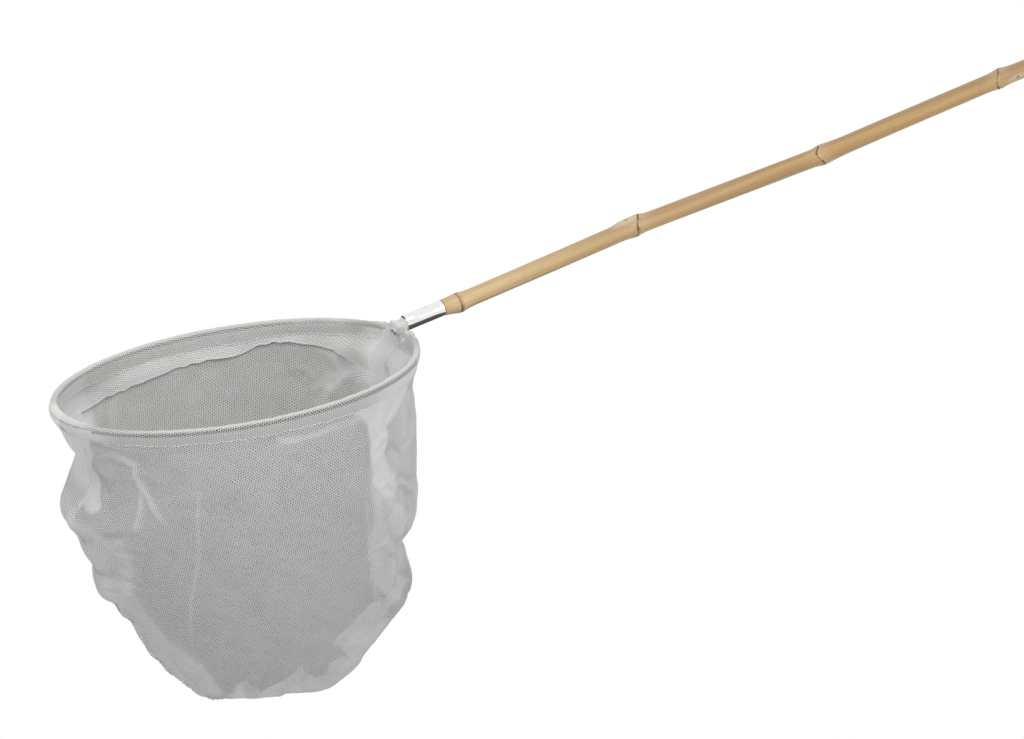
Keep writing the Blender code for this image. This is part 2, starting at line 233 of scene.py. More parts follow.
bmesh.ops.recalc_face_normals(wire, faces=wire.faces)
bmesh.ops.rotate(wire, verts=wire.verts, matrix=Matrix.Rotation(-hoop_tilt, 3, "Y"))
bmesh.ops.translate(wire, verts=wire.verts, vec=hoop_middle)

zinc = Finish("galvanised_wire", Metallic=0.85)
zinc_clouds = zinc.noise(zinc.place(), 420.0, 4.0)
zinc_tone = zinc.step(zinc_clouds, 0.3, 0.7)
zinc.show(
    Base_Color=zinc.blend(zinc_tone, zinc_dull, zinc_bright),
    Roughness=0.5 - 0.18 * zinc_tone,
    Normal=zinc.bump(zinc_clouds, 0.25, 0.0002),
)
hoop = add_piece("hoop_ring", wire, zinc)
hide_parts("hoop_wire")

# Ferrule: a short tube rolled from bright-plated steel strip. Its edges are butted in one fine line along its
# side, and it is pushed over the tangs and the cane's whittled end.
handle_place = Matrix.Translation(ferrule_mouth) @ Matrix.Rotation(math.pi / 2 - handle_rise, 4, "Y")
handle_turn = (0, handle_rise - math.pi / 2, 0)
ferrule_radius = 0.0058
ferrule_bore = 0.0053
ferrule_length = 0.030
ferrule_edge = 0.0002
ferrule_facets = 96
rim_angle = math.radians(60)
# The butted line: its angle round the tube, its half width as an angle, its depth as a share of the radius
butt_line = math.radians(-125)
butt_half_width = 0.045
butt_depth = 0.028
plate_bright = (0.86, 0.86, 0.85)
plate_marked = (0.66, 0.66, 0.64)


def turn_on_axis(profile, facets, closed):
    """A profile of (radius, station) corners, turned once round the Z axis."""
    shape = bmesh.new()
    corners = [shape.verts.new((radius, 0, station)) for radius, station in profile]
    followers = corners[1:] + corners[:1] if closed else corners[1:]
    edges = [shape.edges.new(pair) for pair in zip(corners, followers)]
    bmesh.ops.spin(
        shape, geom=corners + edges, cent=(0, 0, 0), axis=(0, 0, 1), dvec=(0, 0, 0),
        angle=2 * math.pi, steps=facets, use_merge=True,
    )
    bmesh.ops.remove_doubles(shape, verts=shape.verts, dist=1e-6)
    bmesh.ops.recalc_face_normals(shape, faces=shape.faces)
    return shape


def turn_from(start, angle):
    """How far an angle is turned from a start, between minus and plus half a turn."""
    return (angle - start + math.pi) % (2 * math.pi) - math.pi


def handle_noise(finish, across, along, detail, roughness=0.5):
    """Noise drawn out along the handle: about so many bumps in a metre across it and along it."""
    seat = finish.place(turn=handle_turn, scale=(across, across, along))
    return finish.noise(seat, 1.0, detail, roughness)


outside = [(ferrule_radius, ferrule_length * step / 3) for step in range(4)]
profile = [(ferrule_bore, 0), *outside, (ferrule_bore, ferrule_length)]
tube = turn_on_axis(profile, ferrule_facets, closed=True)
rims = [edge for edge in tube.edges if edge.is_manifold and edge.calc_face_angle() > rim_angle]
bmesh.ops.bevel(tube, geom=rims, offset=ferrule_edge, segments=3, profile=0.5, affect="EDGES", material=-1)
for corner in tube.verts:
    if corner.co.xy.length > ferrule_radius - ferrule_edge:
        turned = turn_from(butt_line, math.atan2(corner.co.y, corner.co.x))
        corner.co.xy *= 1 - butt_depth * math.exp(-((turned / butt_half_width) ** 2))
bmesh.ops.transform(tube, matrix=handle_place, verts=tube.verts)

plate = Finish("bright_plate", Metallic=1.0)
plate_lines = handle_noise(plate, 900, 60, 3.0)
plate_marks = plate.step(plate.noise(plate.place(), 260.0, 3.0), 0.55, 0.75)
plate.show(
    Base_Color=plate.blend(plate_marks, plate_bright, plate_marked),
    Roughness=0.10 + 0.10 * plate_marks + 0.06 * plate_lines,
    Normal=plate.bump(plate_lines, 0.06, 0.0001),
)
ferrule = add_piece("ferrule_tube", tube, plate)
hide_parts("ferrule")

# Cane: one natural bamboo cane, dried and cleaned, with its skin left on. It zigzags a little from node to
# node, its side shoots are pared off with a knife, and its thin end is whittled to fit the ferrule.
shoulder = 0.0303
shoulder_run = 0.006
spigot_radius = 0.0050
spigot_start = 0.0225
cane_tip_radius = 0.0062
cane_butt_radius = 0.0070
cane_end = 0.8788
cane_edge = 0.0004
cane_facets = 64
hollow_radius = 0.00225
hollow_start = 0.8398
# How far the cane is from round: height, waves round it, and waves along it in radians to the metre
cane_waves = ((0.00012, 2, 9), (0.00008, 3, -31))
cane_nodes = (0.0418, 0.1908, 0.3508, 0.5138, 0.6718, 0.8338)
node_crook = (-0.0011, 0.0018, -0.0018, 0.0009, -0.0012, 0.0)
node_lean = (0.10, 0.46, 0.05, 0.08, -0.22, 0.18)
node_lean_towards = (1.2, -0.36, 0.6, 4.0, 2.0, 5.2)
node_wave = (0.00015, 0.0005, 0.0005, 0.0005, 0.0005, 0.0005)
# How far each ring dips towards the hoop under its bud, and the angle at which it does
node_dip = (0.0, 0.0010, 0.0070, 0.0085, 0.0030, 0.0020)
node_dip_at = (0.0, -1.93, -1.93, -1.43, 1.30, -1.80)
# How much longer each swelling runs past its crest, on the butt's side
node_runs_on = (1.0, 1.0, 1.9, 1.0, 1.3, 1.0)
node_crest = 0.002
node_swell = 0.0010
# How a node's outline rises, by the distance from its ring
node_outline = (
    (-0.0130, 0.0), (-0.0080, 0.10), (-0.0045, 0.36), (-0.0022, 0.78), (-0.0010, 1.0), (-0.0004, 0.80),
    (0.0001, 0.40), (0.0006, 0.90), (0.0013, 1.16), (0.0024, 1.05), (0.0045, 0.62), (0.0080, 0.24),
    (0.0130, 0.0),
)
# How far past each ring its second, thin line is, and past every ring its pale lip
second_ring = (0.0019, 0.0019, 0.0145, 0.0019, 0.0019, 0.0019)
lip_past_ring = 0.0012
far_from_mark = 0.02
# Where side shoots were pared off: node, distance from its ring, angle round the cane, length, width, depth
pared_shoots = (
    (1, -0.0072, -2.95, 0.0120, 0.50, -0.0017),
    (2, 0.0095, 1.60, 0.0080, 0.50, 0.0005),
    (3, 0.0120, -1.15, 0.0110, 0.55, 0.0008),
    (4, -0.0110, 1.00, 0.0100, 0.55, 0.0007),
    (5, 0.0110, 4.00, 0.0100, 0.50, 0.0006),
)
# Rounds of corners: their spacing between nodes, and at a node each spacing with its first and last round
plain_spacing = 0.010
node_spacings = ((0.0002, -14, 18), (0.0006, -10, 10), (0.0012, -18, 18))

rounds = int((cane_end - shoulder) / plain_spacing)
stations = {shoulder + plain_spacing * step for step in range(1, rounds)}
stations |= {cane_end - 2 * cane_edge, cane_end - cane_edge}
for node in cane_nodes:
    for spacing, first, last in node_spacings:
        stations |= {node + spacing * step for step in range(first, last + 1)}
first_round = shoulder + cane_edge / 2
stations = sorted(round(s, 6) for s in stations if first_round < s < cane_end - cane_edge / 2)
profile = [(0, spigot_start), (spigot_radius, spigot_start), (spigot_radius, shoulder)]
profile += [(cane_tip_radius, station) for station in (first_round, *stations)]
profile += [(cane_butt_radius - cane_edge, cane_end), (hollow_radius, cane_end)]
profile += [(hollow_radius, hollow_start), (0, hollow_start)]
cane = turn_on_axis(profile, cane_facets, closed=False)

for name in ("ring_gap", "thin_ring_gap", "lip_gap", "pared", "eye_gap"):
    cane.verts.layers.float.new(name)
ring_gap, thin_ring_gap, lip_gap, pared, eye_gap = cane.verts.layers.float.values()
crook_at = [shoulder, *cane_nodes, cane_end]
crook_by = [0.0, *node_crook, 0.0]
outline_at, outline_by = zip(*node_outline)
for corner in cane.verts:
    radius = corner.co.xy.length
    station = corner.co.z
    angle = math.atan2(corner.co.y, corner.co.x)
    nearest = min(range(len(cane_nodes)), key=lambda n: abs(station - cane_nodes[n]))
    from_ring = station - cane_nodes[nearest]
    from_ring += node_lean[nearest] * radius * math.cos(angle - node_lean_towards[nearest])
    from_ring += node_wave[nearest] * math.sin(3 * angle + nearest)
    from_ring += node_dip[nearest] * math.exp(-(turn_from(node_dip_at[nearest], angle) ** 2))
    for layer, line in ((ring_gap, 0), (thin_ring_gap, second_ring[nearest]), (lip_gap, lip_past_ring)):
        corner[layer] = min(far_from_mark, abs(from_ring - line))
    corner[eye_gap] = far_from_mark
    if radius > (spigot_radius + cane_tip_radius) / 2:
        in_outline = min(from_ring, max(node_crest, from_ring / node_runs_on[nearest]))
        taper = (station - shoulder) / (cane_end - shoulder)
        full = cane_tip_radius + (cane_butt_radius - cane_tip_radius) * taper
        full += float(np.interp(in_outline, outline_at, outline_by)) * node_swell
        if station < cane_nodes[0]:
            full += (ferrule_radius - cane_tip_radius) * max(0, 1 - (station - shoulder) / shoulder_run)
        for height, waves_round, waves_along in cane_waves:
            full += height * math.sin(waves_round * angle + waves_along * station)
        if station > cane_end - 1.5 * cane_edge:
            full -= cane_edge * 0.35
        for node, offset, faces, length, width, depth in pared_shoots:
            along = (station - cane_nodes[node] - offset) / length
            around = turn_from(faces, angle) / width
            cut = math.exp(-((along**2 + around**2) ** 2))
            corner[pared] = max(corner[pared], cut)
            full -= depth * cut
            eye = math.hypot(along * length, around * width * radius)
            corner[eye_gap] = min(corner[eye_gap], eye)
        corner.co.xy *= full / radius
    corner.co.x -= float(np.interp(station, crook_at, crook_by))
bmesh.ops.transform(cane, matrix=handle_place, verts=cane.verts)

bamboo = Finish("bamboo", Coat_Roughness=0.25, Coat_IOR=1.4)
fibre = handle_noise(bamboo, 900, 16, 3.0, 0.6)
streaks = handle_noise(bamboo, 260, 5, 2.0)
grain = bamboo.step(streaks, 0.25, 0.75)
patches = bamboo.step(handle_noise(bamboo, 60, 14, 3.0), 0.35, 0.75)
specks = bamboo.step(handle_noise(bamboo, 330, 190, 1.0), 0.735, 0.775)
wander = (handle_noise(bamboo, 420, 260, 2.0) - 0.5) * 0.0016
ring_wear = bamboo.step(handle_noise(bamboo, 190, 70, 1.0), 0.40, 0.56)
from_ring = bamboo.attribute("ring_gap")
from_eye = bamboo.attribute("eye_gap")
knife_cut = bamboo.attribute("pared")
ring_line = (1 - bamboo.step(from_ring + wander, 0.00055, 0.00145)) * (0.52 + 0.48 * ring_wear)
second_line = 1 - bamboo.step(bamboo.attribute("thin_ring_gap") + wander, 0.00015, 0.00055)
lip = (1 - bamboo.step(bamboo.attribute("lip_gap"), 0.0003, 0.0010)) * (1 - ring_line)
near_node = 1 - bamboo.step(from_ring, 0.002, 0.016)
eye_ring = 1 - bamboo.step((from_eye + wander - 0.0011).math("ABSOLUTE"), 0.0002, 0.0006)
handle_seat = bamboo.place(turn=handle_turn)
below_axis = bamboo.part(handle_seat, 0)
browner = bamboo.step(bamboo.part(handle_seat, 2), -0.70, -0.38)
# Painted shade: the cane's upper and lower sides are darkened, the upper side more towards the butt and the
# lower side less.
upper_side_painted_shade = (1 - bamboo.step(below_axis, -0.0062, -0.0020)) * (0.30 + 0.35 * browner)
lower_side_painted_shade = bamboo.step(below_axis, 0.0020, 0.0060) * (0.58 - 0.43 * browner)
pale_skin = bamboo.blend(grain, (0.46, 0.320, 0.155), (0.59, 0.435, 0.225))
brown_skin = bamboo.blend(grain, (0.345, 0.203, 0.070), (0.450, 0.277, 0.097))
skin_tone = bamboo.blend(browner, pale_skin, brown_skin)
# What lies over the skin, one over the other: where it shows, and its colour
over_skin = (
    (patches * 0.4, (0.40, 0.248, 0.098)),
    (bamboo.step(fibre, 0.45, 0.8) * 0.30, (0.33, 0.205, 0.09)),
    # painted shade on the cane's upper and lower sides
    (upper_side_painted_shade, (0.27, 0.165, 0.075)),
    (lower_side_painted_shade, (0.29, 0.175, 0.078)),
    (near_node * 0.25, (0.55, 0.41, 0.23)),
    (knife_cut * 0.75, (0.55, 0.47, 0.36)),
    (lip * 0.6, (0.60, 0.45, 0.26)),
    (specks * 0.6, (0.17, 0.095, 0.04)),
    (second_line * 0.55, (0.20, 0.11, 0.045)),
    (eye_ring * 0.75, (0.17, 0.09, 0.037)),
    (ring_line * 0.90, (0.145, 0.070, 0.024)),
)
for shows, tone in over_skin:
    skin_tone = bamboo.blend(shows, skin_tone, tone)
bamboo.show(
    Base_Color=skin_tone,
    Roughness=0.36 + 0.14 * fibre + 0.22 * knife_cut + 0.2 * ring_line,
    Coat_Weight=0.25 - 0.25 * knife_cut,
    Normal=bamboo.bump(fibre * 0.5 + streaks - ring_line, 0.22, 0.0004),
)
handle = add_piece("cane_handle", cane, bamboo)
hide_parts("bamboo_cane")

# Netting: two U-shaped cuts of white knitted netting, sewn together down the sides and across the bottom.
# Each top edge is turned in over the wire and stitched down as a casing. Its raw edge hangs loose inside.
front_side, back_side = -1, 1
far_end, near_end = -1, 1
bag_depth = 0.2295
bag_fullness = 0.004
bag_shift = 0.020
bag_corner = 2.2
bag_belly = 2.2
bag_keel = 0.75
bag_lens = 0.6
foot_width = 0.080
foot_slope = 0.055
foot_reach = (1 - (foot_width / 2 / hoop_radius) ** bag_corner) ** (1 / bag_corner)
half_girth = math.pi * hoop_radius
casing_radius = 0.0025
hem_gap = 0.040
# How far the flap, the casing's inner side and its outer side stand off the wall at the stitching
flap_gap = 0.0006
inner_tuck = 0.0007
outer_tuck = 0.0002
tuck_curve = 1.3
pucker_spacing = 0.017
net_columns = 256
flap_rows, casing_rows, over_rows, wall_rows = 20, 8, 16, 168
wall_start = flap_rows + 2 * casing_rows + over_rows
# Where the soft seam hangs in or out of its fair line: which seam, level, reach, distance out
seam_dents = (
    (far_end, 0.11, 0.040, -0.0048),
    (far_end, 0.21, 0.120, -0.0140),
    (far_end, 0.36, 0.050, 0.0054),
    (far_end, 0.59, 0.050, 0.0055),
    (far_end, 0.74, 0.050, -0.0035),
    (near_end, 0.07, 0.050, -0.0080),
    (near_end, 0.20, 0.090, -0.0116),
    (near_end, 0.30, 0.140, -0.0036),
    (near_end, 0.52, 0.045, -0.0112),
    (near_end, 0.71, 0.085, 0.0155),
)


def ramp(value, start, end):
    """0 up to start, 1 from end on, and a smooth step between. start may be the larger."""
    share = np.clip((value - start) / (end - start), 0, 1)
    return share * share * (3 - 2 * share)


def seam_dent(end, level):
    """How far a side seam hangs out of its fair line, starting under the hem."""
    dents = [dent for dent in seam_dents if dent[0] == end]
    out = sum(far * np.exp(-(((level - at) / reach) ** 2)) for _, at, reach, far in dents)
    return out * ramp(level * bag_depth, 0.004, 0.016)


def bag_wall(share, level, side):
    """Points of a panel's smooth wall. share goes from the handle's seam to the far one, level goes down."""
    gap = hem_gap * (1 - ramp(level * bag_depth, 0.001, 0.009))
    facing = np.cos(gap + (math.pi - gap) * share)
    rounded = (1 - (foot_reach * level) ** bag_corner) ** (1 / bag_corner)
    across = (hoop_radius + bag_fullness * ramp(level, 0, 0.5)) * rounded * facing
    for end in (far_end, near_end):
        across = across + end * seam_dent(end, level) * np.clip(end * facing, 0, 1) ** 8
    thick = hoop_radius * (1 - level**bag_belly) ** bag_keel
    tilt = hoop_tilt * (1 - level) ** 2
    x = bag_shift * ramp(level, 0, 1) + across * np.cos(tilt)
    y = side * thick * np.sqrt(np.maximum(1 - facing**2, 0)) ** (1 + bag_lens * ramp(level, 0, 1))
    z = across * np.sin(tilt) - bag_depth * level - foot_slope * x * level**3
    return np.stack([x, y, z], -1)


def crumple(across, down, size, seed):
    """A smooth random height between about -1 and 1, with bumps of a given size."""
    knots = 96
    heights = np.random.default_rng(seed).normal(0, 0.6, (knots, knots))
    column = across / size + 40
    row = down / size + 20
    left = np.floor(column).astype(int)
    top = np.floor(row).astype(int)
    right_share = ramp(column - left, 0, 1)
    low_share = ramp(row - top, 0, 1)
    left, top = left % (knots - 1), top % (knots - 1)
    upper = heights[top, left] * (1 - right_share) + heights[top, left + 1] * right_share
    lower = heights[top + 1, left] * (1 - right_share) + heights[top + 1, left + 1] * right_share
    return upper * (1 - low_share) + lower * low_share


def line_distance(across, down, line):
    """Each point's distance from a line of (share, level) knots, and how far along it that place is."""
    knots = [(share * half_girth, level * bag_depth) for share, level in line]
    nearest = np.full(across.shape, 1.0)
    travelled = np.zeros(across.shape)
    for count, ((x0, y0), (x1, y1)) in enumerate(zip(knots, knots[1:])):
        dx, dy = x1 - x0, y1 - y0
        along = np.clip(((across - x0) * dx + (down - y0) * dy) / (dx * dx + dy * dy), 0, 1)
        distance = np.hypot(across - x0 - along * dx, down - y0 - along * dy)
        travelled = np.where(distance < nearest, (count + along) / (len(knots) - 1), travelled)
        nearest = np.minimum(nearest, distance)
    return nearest, travelled


def patch_cover(across, down, outline, soft):
    """1 inside a closed outline of (share, level) corners, 0 outside, and soft across its edge."""
    corners = [(share * half_girth, level * bag_depth) for share, level in outline]
    inside = np.zeros(across.shape, bool)
    for (x0, y0), (x1, y1) in zip(corners, corners[1:] + corners[:1]):
        crosses = (y0 > down) != (y1 > down)
        inside ^= crosses & (across < (x1 - x0) * (down - y0) / (y1 - y0 + 1e-12) + x0)
    edge, _ = line_distance(across, down, outline + outline[:1])
    return ramp(np.where(inside, edge, -edge), -soft / 2, soft / 2)


# Hollows and swellings of the bag: panel, share, level, reach across, reach down, height
bag_dents = (
    (back_side, 0.86, 0.20, 0.065, 0.012, -0.0070),
    (back_side, 0.86, 0.33, 0.040, 0.012, 0.0054),
    (front_side, 0.16, 0.50, 0.040, 0.010, -0.0030),
)
# Folds of each panel: half width, height, how much the netting closes up, the line's (share, level) knots
long_fold = (
    (0.93, 0.09), (0.84, 0.10), (0.82, 0.12), (0.82, 0.16), (0.80, 0.21), (0.77, 0.28),
    (0.74, 0.35),
)
panel_folds = {
    front_side: (
        (0.0034, 0.0014, 0.62, long_fold),
        (0.0034, 0.0012, 0.58, ((0.82, 0.18), (0.81, 0.21), (0.81, 0.30), (0.82, 0.36))),
        (0.0012, 0.0000, 0.65, ((0.89, 0.04), (0.83, 0.055), (0.73, 0.06))),
        (0.0012, 0.0008, 0.45, ((0.69, 0.15), (0.70, 0.43), (0.77, 0.83))),
        (0.0012, 0.0008, 0.45, ((0.39, 0.28), (0.38, 0.43), (0.37, 0.51), (0.33, 0.66))),
        (0.0030, 0.0014, 0.50, ((0.30, 0.29), (0.27, 0.31), (0.22, 0.36))),
        (0.0060, 0.0018, 0.00, ((0.33, 0.03), (0.345, 0.10), (0.345, 0.20), (0.33, 0.32))),
        (0.0050, 0.0018, 0.00, ((0.345, 0.45), (0.30, 0.50), (0.24, 0.53))),
    ),
    back_side: (
        (0.0050, 0.0012, 0.35, ((0.15, 0.10), (0.18, 0.15), (0.22, 0.21), (0.26, 0.32))),
        (0.0060, 0.0020, 0.35, ((0.84, 0.36), (0.80, 0.42), (0.82, 0.54))),
        (0.0060, 0.0016, 0.16, ((0.63, 0.08), (0.64, 0.22), (0.62, 0.45), (0.59, 0.70))),
        (0.0080, 0.0018, 0.14, ((0.46, 0.10), (0.47, 0.30), (0.49, 0.60))),
        (0.0060, 0.0016, 0.18, ((0.30, 0.22), (0.34, 0.45), (0.39, 0.78))),
    ),
}
# Outlines, in (share, level), where the netting looks closed and light: mostly where layers lie together, and
# at the back's near end as painted light
far_allowance = (
    (1.04, 0.0), (0.90, 0.0), (0.90, 0.03), (0.93, 0.09), (0.95, 0.13), (0.95, 0.19),
    (0.93, 0.25), (0.91, 0.27), (0.91, 0.29), (0.93, 0.31), (0.96, 0.31), (1.04, 0.29),
)
far_fold = (
    (0.92, 0.10), (0.86, 0.07), (0.83, 0.09), (0.82, 0.12), (0.84, 0.12), (0.87, 0.11),
    (0.93, 0.12),
)
lower_far_band = (
    (1.04, 0.32), (0.91, 0.35), (0.87, 0.38), (0.84, 0.37), (0.83, 0.41), (0.83, 0.49),
    (0.85, 0.57), (0.84, 0.67), (0.83, 0.75), (0.77, 0.81), (0.75, 0.85), (0.73, 0.93),
    (0.71, 0.96), (0.72, 1.04), (1.04, 1.04),
)
foot_band = (
    (0.72, 1.04), (0.71, 0.96), (0.68, 0.95), (0.66, 0.92), (0.63, 0.91), (0.61, 0.93),
    (0.58, 0.94), (0.51, 0.91), (0.48, 0.85), (0.45, 0.88), (0.39, 0.92), (0.35, 0.91),
    (0.37, 0.87), (0.34, 0.85), (0.30, 0.86), (0.40, 0.79), (0.41, 0.76), (0.36, 0.72),
    (0.32, 0.67), (0.26, 0.66), (0.14, 0.64), (0.07, 0.69), (0.25, 0.74), (-0.04, 0.80),
    (-0.04, 1.04),
)
near_band = (
    (0.41, 0.03), (0.36, 0.09), (0.35, 0.17), (0.38, 0.23), (0.37, 0.37), (0.38, 0.42),
    (0.37, 0.50), (0.34, 0.62), (0.30, 0.66), (0.14, 0.64), (-0.04, 0.66), (-0.04, 0.57),
    (0.20, 0.50), (0.33, 0.40), (0.28, 0.30), (0.33, 0.21), (0.32, 0.12), (0.27, 0.08),
    (0.27, 0.03),
)
near_band_top = (
    (0.42, 0.03), (0.40, 0.06), (0.38, 0.09), (0.37, 0.14), (0.37, 0.26), (0.35, 0.32),
    (0.31, 0.35), (0.29, 0.30), (0.33, 0.21), (0.33, 0.18), (0.32, 0.12), (0.27, 0.08),
    (0.24, 0.05), (0.25, 0.03),
)
near_corner = (
    (0.33, 0.28), (0.29, 0.34), (0.23, 0.41), (0.22, 0.50), (0.30, 0.47), (0.33, 0.41),
    (0.34, 0.33),
)
near_strip = ((0.33, 0.14), (0.32, 0.38), (0.20, 0.50), (-0.04, 0.52), (-0.04, 0.10), (0.27, 0.06))
under_hem = (
    (0.56, 0.05), (0.50, 0.06), (0.44, 0.05), (0.36, 0.04), (0.35, 0.07), (0.43, 0.075),
    (0.55, 0.08),
)
back_far_end = (
    (1.04, 0.0), (0.80, 0.0), (0.73, 0.02), (0.68, 0.07), (0.69, 0.20), (0.73, 0.22),
    (0.80, 0.25), (1.04, 0.26),
)
# On the back panel near the handle, the netting is closed up and lighter: painted light in that shaded corner
# of the bag.
back_near_end_painted_light = (
    (0.22, 0.08), (0.0, 0.04), (0.0, 0.13), (0.09, 0.10), (0.15, 0.15), (0.20, 0.20),
    (0.24, 0.19), (0.18, 0.12),
)
# The light patches of each panel: how much the netting closes up, softness of the edge, and the outline
light_patches = {
    front_side: (
        (0.88, 0.005, far_allowance),
        (0.50, 0.004, far_fold),
        (0.52, 0.012, lower_far_band),
        (0.54, 0.004, foot_band),
        (0.52, 0.009, near_band),
        (0.84, 0.005, near_band_top),
        (0.68, 0.007, near_corner),
        (0.45, 0.006, near_strip),
        (0.55, 0.002, under_hem),
    ),
    back_side: (
        (0.64, 0.012, back_far_end),
        (0.30, 0.020, lower_far_band),
        (0.38, 0.016, foot_band),
        (0.62, 0.007, back_near_end_painted_light),
    ),
}
# Depth of the hem's stitching and of its loose raw edge, by share along each panel
hem_shares = (0.0, 0.10, 0.15, 0.20, 0.24, 0.30, 0.34, 0.37, 0.44, 0.52, 0.60, 0.68, 0.75, 0.85, 1.0)
stitch_depths = {
    front_side: (
        0.0085, 0.0082, 0.0086, 0.0092, 0.0096, 0.0090, 0.0098, 0.0104,
        0.0094, 0.0088, 0.0092, 0.0086, 0.0090, 0.0086, 0.0088,
    ),
    back_side: (
        0.0075, 0.0074, 0.0086, 0.0080, 0.0075, 0.0084, 0.0098, 0.0109,
        0.0120, 0.0114, 0.0118, 0.0118, 0.0117, 0.0112, 0.0100,
    ),
}
raw_depths = {
    front_side: (
        0.0180, 0.0165, 0.0190, 0.0172, 0.0200, 0.0178, 0.0195, 0.0170,
        0.0188, 0.0165, 0.0182, 0.0165, 0.0180, 0.0175, 0.0180,
    ),
    back_side: (
        0.0250, 0.0266, 0.0204, 0.0154, 0.0141, 0.0118, 0.0140, 0.0185,
        0.0190, 0.0214, 0.0257, 0.0277, 0.0285, 0.0275, 0.0250,
    ),
}
# By panel: how bunched its hem is at the handle, how far its flap hangs in, where its far end closes up and
# takes painted light inside, how dark the shade along its rim is, and how sheer its corner at the handle is
hem_bunched = {front_side: 0.8, back_side: 0.5}
flap_hangs_in = {front_side: 0.0030, back_side: 0.0010}
far_closed = {front_side: 0.86, back_side: 0.66}
rim_shade = {front_side: 1.0, back_side: 0.45}
sheer_corner = {front_side: 0.294, back_side: 0.42}


def hem_line(share, depths):
    """A depth along the hem, smoothed between its knots, as a level."""
    spread = np.exp(-(np.linspace(-2, 2, 17) ** 2))
    line = np.interp(share[0], hem_shares, depths)
    line = np.convolve(np.pad(line, 8, mode="edge"), spread / spread.sum(), mode="valid")
    return line[None, :] / bag_depth


def run_along(points, axis=0):
    """The length along lines of points, up to each point."""
    apart = np.linalg.norm(np.diff(points, axis=axis), axis=-1)
    return np.insert(np.cumsum(apart, axis), 0, 0, axis=axis)


